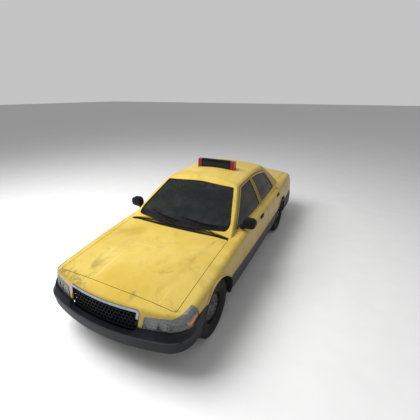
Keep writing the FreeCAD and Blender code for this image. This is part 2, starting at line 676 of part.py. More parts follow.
def honeycomb():
    """A sheet of six-sided cells that covers the grille opening, cut off outside its walls."""
    row_height = CELL * math.sqrt(3) / 2
    radius = (CELL - CELL_GAP) / math.sqrt(3)
    holes = []
    for row in range(1, math.ceil((MESH_HIGH - MESH_LOW) / row_height)):
        z = MESH_LOW + row * row_height
        first = -MESH_HALF + CELL * (0.5 + row % 2 / 2)
        for column in range(int(2 * (MESH_HALF - 10) / CELL)):
            x = first + column * CELL
            turns = [math.radians(60 * k + 30) for k in range(7)]
            holes.append([Vector(x + radius * math.cos(t), -FAR, z + radius * math.sin(t)) for t in turns])
    edge = [Vector(x, -FAR, z) for x, z in ((-520, 500), (520, 500), (520, 790), (-520, 790), (-520, 500))]
    wires = [Part.makePolygon(line) for line in [edge] + holes]
    sheet = Part.makeFace(wires, "Part::FaceMakerBullseye")
    return sheet.extrude(Y_AXIS * (FAR - 2300)).common(prism("Y", GRILLE_OPENING, -FAR, -2300, -4))


mesh = honeycomb().fuse(grille_ring(9)).removeSplitter()
keep("grille", biggest(mesh.common(nose_layer(14, 30))))
bar_zone = block((-600, 600), (-FAR, -2300), (668, 800))
keep("grille_bar", biggest(nose_layer(-7, 13).common(grille_ring(27)).common(bar_zone)))


def mirror_head():
    outline = [(868, 952, 50), (1046, 962, 62), (1055, 1096, 62), (868, 1108, 62)]
    head = prism("Y", outline, -806, -712)
    head = head.makeFillet(30, edges_in(head, lambda box: box.YMax < -805))
    foot = prism("X", [(-800, 940, 10), (-716, 940, 10), (-722, 990, 10), (-792, 990, 10)], 780, 900)
    return head.fuse(foot).cut([door_region("front"), OUTER])


mirror_left = keep("mirror_left", biggest(mirror_head()))
mirrored("mirror_right", mirror_left)

# ---------------------------------------------------------------- roof sign
half_sign, half_depth = size("sign_length") / 2, size("sign_depth") / 2
sign_y, sign_foot = size("sign_place"), 1400
sign_top = 1480 + size("sign_height")
SIGN = [(sign_y - half_depth, sign_foot, 3), (sign_y + half_depth, sign_foot, 3),
        (sign_y + half_depth - 22, sign_top, 14), (sign_y - half_depth + 22, sign_top, 14)]
keep("roof_sign", biggest(prism("X", SIGN, -half_sign, half_sign).cut(UPPER)))
lamp = prism("X", SIGN, half_sign, half_sign + size("lamp_length")).cut(UPPER)
keep("sign_lamps", pair(biggest(lamp)))

# ---------------------------------------------------------------- frame and floor
FRAME = [
    # x, y, z of each box; those off the centreline are on both sides
    ((400, 480), (-2430, -1100), (330, 430)),
    ((400, 660), (-1200, -1100), (185, 430)),
    ((580, 660), (-1200, 1190), (185, 245)),
    ((560, 660), (1110, 1190), (185, 510)),
    ((560, 640), (1110, 2480), (430, 510)),
]
CROSS_MEMBERS = [
    # half length, y, z
    (480, (-2430, -2370), (330, 430)),
    (480, (FRONT_AXLE - 72, FRONT_AXLE + 68), (235, 332)),
    (590, (-560, -500), (185, 235)),
    (570, (1110, 1170), (480, 508)),
    (570, (2400, 2480), (430, 510)),
]
frame = both(block(*FRAME[0]).fuse([block(*row) for row in FRAME[1:]]))
frame = frame.fuse([block((-half, half), y, z) for half, y, z in CROSS_MEMBERS])
keep("frame", frame.removeSplitter())

side_gap = block((-762, 762), (-FAR, FAR), (0, 1500))
floor = block((-762, 762), (FIREWALL - 30, 1104), (246, 272)).cut(block((-170, 170), (-FAR, FAR), (0, 272)))
tunnel = block((-190, 190), (FIREWALL - 30, 1104), (246, 440)).cut(block((-170, 170), (-FAR, FAR), (0, 420)))
riser = block((-762, 762), (1084, 1104), (246, 530)).cut(block((-170, 170), (1000, 1200), (0, 420)))
rear_floor = block((-680, 680), (1084, 2470), (510, 530))
firewall = LOWER_INNER.common(block((-762, 762), (FIREWALL - 30, FIREWALL - 4), (246, 1100)))
firewall = firewall.common(lower_loft(SKIN + 6, 100)).cut(block((-170, 170), (-FAR, FAR), (0, 420)))
bulkhead = block((-680, 680), (1540, 1560), (510, 930))
shelf = block((-636, 636), (1536, 1660), (925, 940)).common(lower_loft(SKIN + 6, 100))


def wheel_housing(axle, inner, outer, foot):
    barrel = wheel_cylinder(axle, 420, inner, outer).cut(wheel_cylinder(axle, 412, inner + 8, outer))
    reach = block((0, FAR), (axle - 420, axle + 420), (foot, 2000))
    return barrel.common(reach).common(lower_loft(SKIN + 4, 100))


rear_housing = wheel_housing(REAR_AXLE, 682, 930, 300).cut(block((0, FAR), (-FAR, 1106), (0, 2000)))
underbody = floor.fuse([tunnel, riser, rear_floor, firewall, bulkhead, shelf])
wheel_space = wheel_cylinder(REAR_AXLE, 420, 682, 930)
rail_space = block((560, 661), (1105, 1191), (160, 511))
underbody = underbody.cut([both(wheel_space), both(rail_space)]).fuse(both(rear_housing))
keep("underbody", biggest(underbody.removeSplitter()))
around_frame = block((0, 662), (-1262, -1098), (0, 432))
tower_bay = block((0, 662), (FRONT_AXLE - 112, FRONT_AXLE + 112), (200, 608))
front_housing = wheel_housing(FRONT_AXLE, 486, 900, 250).cut([hood_region(8), around_frame, tower_bay])
keep("front_aprons", pair(biggest(front_housing)))

# ---------------------------------------------------------------- running gear
HUB_Z = size("tyre_radius")
KINGPIN = size("kingpin")
SPINDLE = 24


def rod(start, end, radius):
    start, end = Vector(*start), Vector(*end)
    return Part.makeCylinder(radius, (end - start).Length, start, end - start)


ARM_LOW, ARM_HIGH = (228, 254), (460, 480)


def control_arm(inner, spread, heights):
    points = [
        (inner, FRONT_AXLE - spread, 12), (KINGPIN - 10, FRONT_AXLE - 26, 24), (KINGPIN + 22, FRONT_AXLE, 14),
        (KINGPIN - 10, FRONT_AXLE + 26, 24), (inner, FRONT_AXLE + spread, 12),
    ]
    arm = prism("Z", points, *heights)
    return arm.cut(Part.makeCylinder(9.5, 600, Vector(KINGPIN, FRONT_AXLE, 100)))


spring = rod((585, FRONT_AXLE, 254), (560, FRONT_AXLE, 560), 42)
tower = block((485, 612), (FRONT_AXLE - 50, FRONT_AXLE + 50), (556, 600))
spring_space = rod((585, FRONT_AXLE, 254), (560, FRONT_AXLE, 600), 60)
arms = control_arm(482, 105, ARM_LOW).fuse(control_arm(482, 90, ARM_HIGH).cut(spring_space))
tower_wall = block((481, 500), (FRONT_AXLE - 90, FRONT_AXLE + 90), (432, 600))
suspension = arms.fuse([spring, tower, tower_wall])
keep("front_suspension", pair(biggest(suspension)))

upright = block((702, 742), (FRONT_AXLE - 38, FRONT_AXLE + 38), (262, 452))
upright = upright.makeFillet(10, upright.Edges)
pin = rod((KINGPIN, FRONT_AXLE, 230), (KINGPIN, FRONT_AXLE, 478), 9)
spindle = rod((730, FRONT_AXLE, HUB_Z), (840, FRONT_AXLE, HUB_Z), SPINDLE)
knuckle_left = keep("knuckle_left", upright.fuse([pin, spindle]))
mirrored("knuckle_right", knuckle_left)

axle_half = size("rear_track") / 2
axle = rod((-axle_half + 85, REAR_AXLE, HUB_Z), (axle_half - 85, REAR_AXLE, HUB_Z), 40)
axle = axle.fuse([rod((-axle_half - 38, REAR_AXLE, HUB_Z), (axle_half + 38, REAR_AXLE, HUB_Z), SPINDLE)])
case = rod((-95, REAR_AXLE, HUB_Z), (95, REAR_AXLE, HUB_Z), 128)
case = case.makeChamfer(34, [case.Edges[0], case.Edges[2]])
seats = [rod((s * 420, REAR_AXLE, HUB_Z + 30), (s * 420, REAR_AXLE, 508), 52) for s in (-1, 1)]
dampers = [rod((s * 300, REAR_AXLE + 62, HUB_Z - 60), (s * 270, REAR_AXLE + 140, 502), 22) for s in (-1, 1)]
brackets = [
    block((300 * s - 26, 300 * s + 26), (REAR_AXLE, REAR_AXLE + 85), (HUB_Z - 75, HUB_Z - 20))
    for s in (-1, 1)
]
keep("rear_axle", biggest(axle.fuse([case] + seats + dampers + brackets)))

shaft = rod((0, -560, 345), (0, REAR_AXLE - 130, HUB_Z), 38)
gearbox = block((-140, 80), (-1300, -700), (235, 400)).fuse(block((-80, 80), (-720, -540), (270, 400)))
keep("driveline", gearbox.fuse(shaft))


def pipe(points, radius, bend):
    """A tube along straight runs joined by arcs."""
    points = [Vector(*p) for p in points]
    edges, start = [], points[0]
    for before, corner, after in zip(points, points[1:], points[2:]):
        into, out = (corner - before).normalize(), (after - corner).normalize()
        half = into.getAngle(out) / 2
        reach = bend * math.tan(half)
        first, last = corner - into * reach, corner + out * reach
        middle = corner + (out - into).normalize() * (bend / math.cos(half) - bend)
        edges += [Part.makeLine(start, first), Part.Arc(first, middle, last).toShape()]
        start = last
    edges.append(Part.makeLine(start, points[-1]))
    first_run = (points[1] - points[0]).normalize()
    ring = Part.Wire(Part.makeCircle(radius, points[0], first_run))
    return Part.Wire(edges).makePipeShell([ring], True, False)


HEAD_PIPE = [(115, -1120, 262), (115, -100, 262), (115, 60, 205), (300, 360, 192), (300, 480, 190)]
head_pipe = pipe(HEAD_PIPE, 25, 90)
muffler = block((215, 400), (470, 1000), (118, 232))
muffler = muffler.makeFillet(50, edges_in(muffler, lambda box: box.YLength > 500))
tail_pipe = pipe([(330, 985, 185), (505, 1140, 190), (510, 1180, 445), (510, 1420, 450), (510, 1640, 300),
                  (560, 1900, 240), (560, 2560, 232)], 23, 45)
keep("exhaust", head_pipe.fuse([muffler, tail_pipe]))

for name, sizes_of, place in [
    ("engine", ("engine_width", "engine_length", "engine_height"),
     ("-engine_width / 2", "engine_front", "engine_floor")),
    ("fuel_tank", ("tank_width", "tank_length", "tank_height"),
     ("-tank_width / 2", "tank_front", "tank_floor")),
]:
    made = doc.addObject("Part::Box", name)
    for side, alias in zip(("Length", "Width", "Height"), sizes_of):
        made.setExpression(side, formula(alias))
    for axis_name, text in zip("xyz", place):
        made.setExpression(f".Placement.Base.{axis_name}", formula(text))
    keep(name, made)
keep("radiator", block((-330, 330), (-2340, -2290), (435, 705)))

# ---------------------------------------------------------------- wheels
# across from the wheel's middle plane, outwards, and radius
TYRE_HALF = size("tyre_width") / 2
RIM_HALF = size("rim_width") / 2
BEAD, TREAD = size("rim_radius"), size("tyre_radius")
TYRE_SIDE = [(RIM_HALF - 15, BEAD + 0.3), (TYRE_HALF, BEAD + 62), (TYRE_HALF - 20, TREAD)]
TYRE = TYRE_SIDE + [(-u, r) for u, r in reversed(TYRE_SIDE)]
LIP, WELL, SHEET = BEAD + 10, BEAD - 26, 7
WHEEL = [
    (-RIM_HALF, LIP), (-RIM_HALF + 7, LIP), (-RIM_HALF + 7, BEAD), (-46, BEAD), (-38, WELL),
    (26, WELL), (38, BEAD),
    (RIM_HALF - 7, BEAD), (RIM_HALF - 7, LIP), (RIM_HALF, LIP), (RIM_HALF, BEAD - SHEET), (44, BEAD - SHEET),
    (33, WELL - SHEET), (54, 150), (48, 80), (56, 66), (66, 40), (66, 0), (44, 0), (44, SPINDLE + 0.5),
    (-40, SPINDLE + 0.5), (-40, 58), (38, 58), (38, 80), (44, 145), (20, WELL - SHEET), (-43, WELL - SHEET),
    (-51, BEAD - SHEET), (-RIM_HALF, BEAD - SHEET),
]


def turned(name, outline, x, y, side):
    """A body of revolution about an axle: an outline of (across, radius) turned about X."""
    body = doc.addObject("PartDesign::Body", name)
    sketch = body.newObject("Sketcher::SketchObject", name + "_section")
    plane = next(f for f in body.Origin.OriginFeatures if f.Role == "XZ_Plane")
    sketch.AttachmentSupport = (plane, "")
    sketch.MapMode = "FlatFace"
    points = [Vector(side * u, r, 0) for u, r in outline]
    for a, b in zip(points, points[1:] + points[:1]):
        sketch.addGeometry(Part.LineSegment(a, b), False)
    spin = body.newObject("PartDesign::Revolution", name + "_turned")
    spin.Profile = sketch
    spin.ReferenceAxis = (sketch, ["H_Axis"])
    spin.Angle = 360
    body.Placement.Base = Vector(x, y, HUB_Z)
    return keep(name, body)


for end, axle_y, track in (("front", FRONT_AXLE, "front_track"), ("rear", REAR_AXLE, "rear_track")):
    for side_name, side in (("left", 1), ("right", -1)):
        x = side * size(track) / 2
        turned(f"tyre_{end}_{side_name}", TYRE, x, axle_y, side)
        turned(f"wheel_{end}_{side_name}", WHEEL, x, axle_y, side)

# ---------------------------------------------------------------- cabin
DASH = [
    (-1030, 560, 20), (-830, 560, 40), (-760, 700, 40), (-745, 820, 30), (-800, 872, 40), (-1030, 878, 10),
]
dash = prism("X", DASH, -700, 700)
keep("dashboard", dash.cut([block((-200, 200), (-FAR, FAR), (0, 445))]))
WHEEL_HUB = Vector(370, -560, 800)
tilt = FreeCAD.Rotation(X_AXIS, 62)
column_way = tilt.multVec(Z_AXIS)
wheel_ring = Part.makeTorus(188, 15, WHEEL_HUB, column_way)
spokes = Part.makeBox(350, 40, 12, Vector(-175, -20, -30)).fuse(Part.makeCylinder(60, 36, Vector(0, 0, -40)))
spokes.rotate(Vector(), X_AXIS, 62)
spokes.translate(WHEEL_HUB)
spokes = spokes.fuse(rod(tuple(WHEEL_HUB - column_way * 30), tuple(WHEEL_HUB - column_way * 190), 30))
keep("steering_wheel", biggest(wheel_ring.fuse(spokes).cut(dash)))


def front_seat():
    base = prism("X", [(-520, 300, 40), (20, 300, 40), (60, 520, 60), (-520, 560, 60)], 195, 695)
    back = prism("X", [(-10, 470, 50), (130, 480, 50), (250, 1090, 44), (150, 1110, 44)], 222, 668)
    head_rest = prism("X", [(160, 1080, 20), (250, 1070, 20), (285, 1250, 40), (195, 1270, 40)], 325, 565)
    foot = block((250, 670), (-420, 0), (273, 305))
    return base.fuse([back, head_rest, foot])


keep("front_seats", pair(front_seat()))
BENCH = [(640, 276, 30), (1080, 276, 20), (1080, 532, 10), (1420, 532, 30), (1200, 600, 60), (640, 590, 60)]
BENCH_BACK = [(1220, 540, 50), (1500, 534, 20), (1530, 905, 20), (1490, 960, 40), (1420, 960, 40)]
bench = prism("X", BENCH, -670, 670)
bench_back = prism("X", BENCH_BACK, -630, 630)
over_tunnel = block((-194, 194), (0, 1110), (0, 444))
keep("rear_seat", bench.fuse(bench_back).cut([over_tunnel, both(wheel_cylinder(REAR_AXLE, 426, 676, 930))]))

doc.recompute()
os.makedirs("parts", exist_ok=True)
for old in os.listdir("parts"):
    os.remove(os.path.join("parts", old))
failed = [
    name for name, made in nodes.items()
    if {"Invalid", "Error"} & set(made.State) or made.Shape.isNull() or not made.Shape.isValid()
]
if failed:
    raise SystemExit(f"failed: {failed}")
for name, made in nodes.items():
    made.Shape.exportStep(f"parts/{name}.step")
print(len(nodes), "nodes")
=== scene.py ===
# %% [markdown]
# # A worn city taxi cab
#
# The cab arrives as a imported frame: steel panels, glass, wheels and chassis at their real size. This
# script dresses it. Plain panels keep their own mesh and get a finish; whatever gives the cab its look
# close up (grille, lamps, tyres, wheels, trim, seats) is modelled here and rides on the frame's bodies.
#
# Everything is in metres. +X is the cab's left, -Y its front and +Z up.

# %% Load the frame and note its box
import json
import math

import bmesh
import bpy
from mathutils import Matrix, Vector

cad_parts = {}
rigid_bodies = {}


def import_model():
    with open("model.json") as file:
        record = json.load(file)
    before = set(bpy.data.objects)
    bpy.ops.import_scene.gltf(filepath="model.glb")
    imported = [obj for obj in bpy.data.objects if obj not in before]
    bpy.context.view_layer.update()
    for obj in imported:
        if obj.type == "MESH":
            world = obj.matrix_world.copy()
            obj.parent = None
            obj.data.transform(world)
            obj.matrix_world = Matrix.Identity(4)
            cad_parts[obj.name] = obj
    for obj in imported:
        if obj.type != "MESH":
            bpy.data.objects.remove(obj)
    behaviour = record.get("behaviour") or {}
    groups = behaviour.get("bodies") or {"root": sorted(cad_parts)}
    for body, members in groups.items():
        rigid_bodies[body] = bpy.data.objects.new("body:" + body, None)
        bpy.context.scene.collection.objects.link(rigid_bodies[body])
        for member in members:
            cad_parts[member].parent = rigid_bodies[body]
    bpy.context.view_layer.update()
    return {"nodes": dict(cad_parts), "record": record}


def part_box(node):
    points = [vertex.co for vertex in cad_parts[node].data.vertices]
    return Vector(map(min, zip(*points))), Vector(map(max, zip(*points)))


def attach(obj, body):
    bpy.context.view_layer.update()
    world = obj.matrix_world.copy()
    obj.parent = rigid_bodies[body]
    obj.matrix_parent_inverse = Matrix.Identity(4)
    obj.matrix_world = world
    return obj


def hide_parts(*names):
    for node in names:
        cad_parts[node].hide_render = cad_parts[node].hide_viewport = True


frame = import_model()
nodes, record = frame["nodes"], frame["record"]

# %% [markdown]
# ## The camera
#
# A wide lens close to the cab's left front corner, above the mirrors, looking down at it. The near
# bumper looks large and the tail small, so the place and the lens matter more than any one angle.

# %% Camera
CAMERA_PLACE = Vector((1.945, -3.970, 2.646))
CAMERA_AZIMUTH, CAMERA_ELEVATION = math.radians(26.2), math.radians(23.1)
LENS, SENSOR = 23.35, 36.0


def looking(place, back):
    """Stands at place with its back, the local +Z, turned along the vector back."""
    return Matrix.Translation(place) @ back.to_track_quat("Z", "Y").to_matrix().to_4x4()


camera_data = bpy.data.cameras.new("camera")
camera_data.lens, camera_data.sensor_width = LENS, SENSOR
camera_data.clip_start, camera_data.clip_end = 0.05, 200
camera = bpy.data.objects.new("camera", camera_data)
bpy.context.scene.collection.objects.link(camera)
towards_camera = Vector((
    math.sin(CAMERA_AZIMUTH) * math.cos(CAMERA_ELEVATION),
    -math.cos(CAMERA_AZIMUTH) * math.cos(CAMERA_ELEVATION),
    math.sin(CAMERA_ELEVATION),
))
camera.matrix_world = looking(CAMERA_PLACE, towards_camera)
bpy.context.scene.camera = camera
print("camera at", tuple(round(v, 2) for v in CAMERA_PLACE), "lens", LENS)

# %% [markdown]
# ## Floor and light
#
# A pale floor that runs to the horizon and a soft white sky keep shadows gentle. The sky lights the cab
# less than it shows, so that dark trim stays dark. One large lamp high on the cab's right front lights
# the hood and roof and leaves the near side darker. It is hidden from glossy rays, and the broad pale
# sheen on the hood and roof is a painted sheen, laid in with the paint's pale dust.

# %% Floor, sky and lamps
SKY_SEEN, SKY_LIGHT = 0.55, 0.38
FLOOR_ACROSS = 160
LAMPS = {  # place, target, size across and power
    "key_lamp": ((-3.5, -3.0, 7.5), (0, -0.5, 0.8), 5.5, 1000),
    "near_fill": ((6.5, -5.0, 3.5), (0, -0.6, 0.6), 4.0, 25),
}


def deselect():
    bpy.ops.object.select_all(action="DESELECT")


def wear(obj, material):
    """One finish all over."""
    obj.data.materials.clear()
    obj.data.materials.append(material)


def area_light(name, place, target, size, power):
    data = bpy.data.lights.new(name, "AREA")
    data.shape, data.size, data.energy = "SQUARE", size, power
    lamp = bpy.data.objects.new(name, data)
    bpy.context.scene.collection.objects.link(lamp)
    lamp.matrix_world = looking(place, Vector(place) - Vector(target))
    return lamp


deselect()
bpy.ops.mesh.primitive_plane_add(size=FLOOR_ACROSS)
floor = bpy.context.object
floor.name = "floor"

world = bpy.data.worlds.new("soft_sky")
world.use_nodes = True
tree = world.node_tree
sky = tree.nodes["Background"]
sky.inputs["Color"].default_value = (1, 1, 1, 1)
seen = tree.nodes.new("ShaderNodeLightPath")
strength = tree.nodes.new("ShaderNodeMath")
strength.operation = "MULTIPLY_ADD"
strength.inputs[1].default_value, strength.inputs[2].default_value = SKY_SEEN - SKY_LIGHT, SKY_LIGHT
tree.links.new(seen.outputs["Is Camera Ray"], strength.inputs[0])
tree.links.new(strength.outputs[0], sky.inputs["Strength"])
bpy.context.scene.world = world
lamps = {name: area_light(name, *rest) for name, rest in LAMPS.items()}
lamps["key_lamp"].visible_glossy = False  # its square would show in the windscreen
bpy.context.scene.view_settings.view_transform = "Standard"
print("light: sky and two soft lamps")

# %% [markdown]
# ## Shader sums in plain Python
#
# Wear is sums of patterns: dust where a noise is high, grime where the height is low, and so on. A
# small class wraps a socket, so `1 - mask * 0.5` adds the Math nodes by itself. `Finish` holds one
# material, and its `node` method makes any other node from its settings and inputs.

# %% Field and Finish
class Field:
    """A value that varies over a surface; its operators add Math nodes."""

    def __init__(self, finish, socket):
        self.finish, self.socket = finish, socket

    def maths(self, operation, *inputs):
        made = self.finish.node("ShaderNodeMath", {"operation": operation}, dict(enumerate(inputs)))
        return Field(self.finish, made.outputs[0])

    def __add__(self, other): return self.maths("ADD", self, other)
    def __sub__(self, other): return self.maths("SUBTRACT", self, other)
    def __rsub__(self, other): return self.maths("SUBTRACT", other, self)
    def __mul__(self, other): return self.maths("MULTIPLY", self, other)
    __radd__, __rmul__ = __add__, __mul__

    def most(self, other): return self.maths("MAXIMUM", self, other)

    def ramp(self, low, high, smooth=True):
        """0 below low, 1 above high; low may be the larger."""
        kind = "SMOOTHSTEP" if smooth else "LINEAR"
        made = self.finish.node("ShaderNodeMapRange", {"interpolation_type": kind},
                                {"Value": self, "From Min": low, "From Max": high})
        return Field(self.finish, made.outputs[0])


class Finish:
    """A material under construction: a Principled shader with constants, and patterns that feed it."""

    def __init__(self, name, **constants):
        self.material = bpy.data.materials.new(name)
        self.material.use_nodes = True
        self.tree = self.material.node_tree
        self.shader = self.tree.nodes["Principled BSDF"]
        self.patterns = 0
        for socket, value in constants.items():
            if isinstance(value, tuple) and len(value) == 3:
                value = (*value, 1)
            self.shader.inputs[socket.replace("_", " ")].default_value = value

    def node(self, kind, settings=None, inputs=None):
        made = self.tree.nodes.new(kind)
        for name, value in (settings or {}).items():
            setattr(made, name, value)
        for key, value in (inputs or {}).items():
            socket = made.inputs[key]
            value = value.socket if isinstance(value, Field) else value
            if isinstance(value, bpy.types.NodeSocket):
                self.tree.links.new(value, socket)
            elif isinstance(value, tuple) and len(value) == 3 and socket.type == "RGBA":
                socket.default_value = (*value, 1)
            else:
                socket.default_value = value
        return made

    def coordinates(self, scale=(1, 1, 1), turn=(0, 0, 0)):
        """Object coordinates, stretched and turned."""
        source = self.node("ShaderNodeTexCoord").outputs["Object"]
        made = self.node("ShaderNodeMapping", {}, {"Vector": source, "Scale": scale, "Rotation": turn})
        return made.outputs[0]

    def part_of(self, source, name):
        return Field(self, self.node("ShaderNodeSeparateXYZ", {}, {0: source}).outputs[name])

    def axis(self, name):
        """Where the surface is along an axis."""
        return self.part_of(self.node("ShaderNodeTexCoord").outputs["Object"], name)

    def facing(self, name):
        """How far the surface faces along an axis."""
        return self.part_of(self.node("ShaderNodeNewGeometry").outputs["Normal"], name)

    def noise(self, scale, detail=4.0, roughness=0.6, stretch=(1, 1, 1), turn=(0, 0, 0), distortion=0.0):
        """Cloudy pattern. Each call reads another slice of the noise, so that no two line up."""
        self.patterns += 1
        slice_at = (self.patterns * 7.3, self.patterns * 3.1, 0)
        place = self.node("ShaderNodeMapping", {}, {
            "Vector": self.coordinates(stretch, turn), "Location": slice_at})
        made = self.node("ShaderNodeTexNoise", {}, {
            "Vector": place.outputs[0], "Scale": scale, "Detail": detail, "Roughness": roughness,
            "Distortion": distortion})
        return Field(self, made.outputs[0])

    def cells(self, scale):
        """Small round cells."""
        made = self.node("ShaderNodeTexVoronoi", {}, {"Vector": self.coordinates(), "Scale": scale})
        return Field(self, made.outputs["Distance"])

    def mix(self, mask, below, above):
        """Colour below where the mask is 0, colour above where it is 1."""
        made = self.node("ShaderNodeMix", {"data_type": "RGBA"}, {0: mask, 6: below, 7: above})
        return made.outputs[2]

    def feed(self, **inputs):
        for socket, value in inputs.items():
            value = value.socket if isinstance(value, Field) else value
            self.tree.links.new(value, self.shader.inputs[socket.replace("_", " ")])
        return self

    def bump(self, height, distance):
        made = self.node("ShaderNodeBump", {}, {"Height": height, "Distance": distance, "Strength": 1.0})
        return self.feed(Normal=made.outputs[0])


print("shader helpers ready")

# %% [markdown]
# ## Taxi paint
#
# Solid yellow enamel that has lost its shine. Pale dust gathers on flat, upward faces, and the same pale
# colour paints a sheen there. The colour grows darker towards the bottom, with greasy smudges, small dark
# nicks and long fine scratches. Below the crease the sides are charcoal up to the wheel arches, so the
# paint changes colour at one height.

# %% Worn yellow paint
YELLOW = (0.50, 0.335, 0.036)
# pale dust colour, which on upward faces also paints a sheen
PALE_DUST_AND_SHEEN = (0.60, 0.455, 0.115)
# dark olive for the stains and for the darkening towards the bottom
DARK_OLIVE = (0.105, 0.085, 0.026)
CHARCOAL = (0.0065, 0.0072, 0.0105)
CHARCOAL_DUSTY = (0.026, 0.026, 0.026)
NICK = (0.09, 0.065, 0.02)
SCRATCH = (0.80, 0.68, 0.36)
BAND_TOP, BAND_SOFT = 0.60, 0.0015  # top of the charcoal band along the sides


def paint(name, banded):
    """Worn yellow enamel; banded panels turn charcoal below the band's top."""
    finish = Finish(name, Specular_IOR_Level=0.45, Coat_Roughness=0.25)
    broad = finish.noise(1.1, 5, 0.62)
    cloudy = finish.noise(4.5, 6, 0.7)
    up = finish.facing("Z").ramp(0.35, 0.95)
    height = finish.axis("Z")
    # pale dust on upward faces, in clouds, and with it a painted sheen: the pale colour on the hood and roof
    # stands in for their gloss
    dust = (broad.ramp(0.36, 0.66) * 0.80 + 0.12) * (up * 0.82 + 0.08)
    colour = finish.mix(dust, YELLOW, PALE_DUST_AND_SHEEN)
    # darker towards the bottom of the body, from 0.95 m down to 0.42 m high, in clouds
    low = height.ramp(0.95, 0.42) * (cloudy.ramp(0.30, 0.75) * 0.6 + 0.25)
    patches = finish.noise(2.3, 7, 0.74, distortion=0.6)
    front = finish.axis("Y").ramp(-1.75, -2.45) * up
    stains = patches.ramp(0.47, 0.64) * (0.34 + front * 0.75) * (cloudy.ramp(0.30, 0.62) * 0.7 + 0.3)
    stains_and_low_darkening = low.most(stains)
    colour = finish.mix(stains_and_low_darkening * 0.72, colour, DARK_OLIVE)
    speckle = finish.noise(42, 3, 0.5).ramp(0.66, 0.74) * cloudy.ramp(0.48, 0.66)
    colour = finish.mix(speckle * 0.5, colour, NICK)
    along = finish.noise(3.2, 3, 0.5, stretch=(9, 0.22, 1), turn=(0, 0, 0.42)).ramp(0.66, 0.74)
    across = finish.noise(2.6, 3, 0.5, stretch=(0.25, 8, 1), turn=(0, 0, -0.6)).ramp(0.69, 0.76)
    scratch = along.most(across) * broad.ramp(0.40, 0.60)
    colour = finish.mix(scratch * 0.30, colour, SCRATCH)
    rough = 0.34 + dust * 0.25 + stains_and_low_darkening * 0.28 + scratch * 0.2
    coat = 0.35 - stains_and_low_darkening * 0.3
    if banded:
        band = height.ramp(BAND_TOP + BAND_SOFT, BAND_TOP - BAND_SOFT, smooth=False)
        dirty = (cloudy.ramp(0.35, 0.8) * height.ramp(0.60, 0.15)) * 0.8
        colour = finish.mix(band, colour, finish.mix(dirty, CHARCOAL, CHARCOAL_DUSTY))
        rough = rough * (1 - band) + (0.5 + dirty * 0.3) * band
        coat = coat * (1 - band)
    finish.feed(Base_Color=colour, Roughness=rough, Coat_Weight=coat)
    return finish.bump(finish.noise(60, 2, 0.5) * 0.2 + scratch * -0.25, 0.0006).material


taxi_paint = paint("taxi_yellow", banded=False)
side_paint = paint("taxi_yellow_over_charcoal", banded=True)
print("paint:", taxi_paint.name, side_paint.name)

# %% [markdown]
# ## Moulded trim, rubber and chassis black
#
# The bumpers, the cowl, the mirrors and the sign are charcoal plastic with a fine grain, greyed by
# dust and scuffed. Tyres are darker and matt, with brown dust low in the tread.

# %% Plain dark finishes
def worn_dark(name, colour, dusty, rough, dust_share=0.6, grain=0.0004, grain_scale=260, **constants):
    """A dark moulded surface with grain, dust in clouds and paler scuffs."""
    finish = Finish(name, **constants)
    clouds = finish.noise(3.5, 6, 0.7)
    fine = finish.noise(grain_scale, 2, 0.5)
    dust = clouds.ramp(0.40, 0.80) * dust_share * (finish.facing("Z").ramp(-0.4, 0.9) * 0.7 + 0.3)
    scuff = finish.noise(14, 3, 0.5, stretch=(1, 1, 7)).ramp(0.66, 0.74) * clouds.ramp(0.45, 0.6)
    tint = finish.mix(dust, colour, dusty)
    tint = finish.mix(scuff * 0.35, tint, tuple(min(1, c * 4 + 0.03) for c in colour))
    finish.feed(Base_Color=tint, Roughness=rough + dust * 0.25)
    return finish.bump(fine * 0.6 + scuff * -0.4, grain).material


trim_charcoal = worn_dark("trim_charcoal", (0.0055, 0.0062, 0.0095), (0.022, 0.023, 0.027), 0.50, 0.5,
                          Specular_IOR_Level=0.2)
trim_black = worn_dark("trim_black", (0.006, 0.006, 0.007), (0.035, 0.035, 0.035), 0.42, 0.35,
                       Specular_IOR_Level=0.25)
tyre_rubber = worn_dark("tyre_rubber", (0.009, 0.009, 0.010), (0.040, 0.037, 0.032), 0.72, 0.8,
                        Specular_IOR_Level=0.25)
scuffed_grey = worn_dark("scuffed_grey", (0.022, 0.024, 0.030), (0.07, 0.07, 0.072), 0.55,
                         Specular_IOR_Level=0.3)
smoked = worn_dark("smoked_pane", (0.005, 0.005, 0.006), (0.025, 0.024, 0.022), 0.12, 0.5, 0.0001)
seal_rubber = worn_dark("seal_rubber", (0.007, 0.007, 0.008), (0.04, 0.04, 0.04), 0.6, 0.4)
chassis_black = worn_dark("chassis_black", (0.014, 0.013, 0.012), (0.085, 0.065, 0.045), 0.62, 0.8)
underseal = worn_dark("underseal", (0.020, 0.018, 0.016), (0.095, 0.075, 0.055), 0.8, 0.8, 0.0015, 90)
interior_plastic = worn_dark("interior_plastic", (0.028, 0.028, 0.031), (0.06, 0.058, 0.055), 0.55, 0.3)
seat_vinyl = worn_dark("seat_vinyl", (0.030, 0.030, 0.033), (0.075, 0.072, 0.068), 0.42, 0.5, 0.0005, 420,
                       Specular_IOR_Level=0.5)
print("dark finishes ready")

# %% [markdown]
# ## Metals
#
# Nothing bright on this cab is clean. The grille's surround has gone blue-grey, the engine is oily and
# the exhaust is browned by heat.

# %% Metals
def worn_metal(name, colour, stain, rough, metallic=1.0, stain_share=0.7, fine_scale=75):
    finish = Finish(name)
    clouds = finish.noise(11, 6, 0.7)
    fine = finish.noise(fine_scale, 3, 0.6)
    stains = (clouds.ramp(0.42, 0.72) * 0.7 + fine.ramp(0.5, 0.75) * 0.3) * stain_share
    finish.feed(Base_Color=finish.mix(stains, colour, stain), Roughness=rough + stains * 0.35,
                Metallic=metallic - stains * 0.5 * metallic)
    return finish.bump(fine * 0.5, 0.0004).material


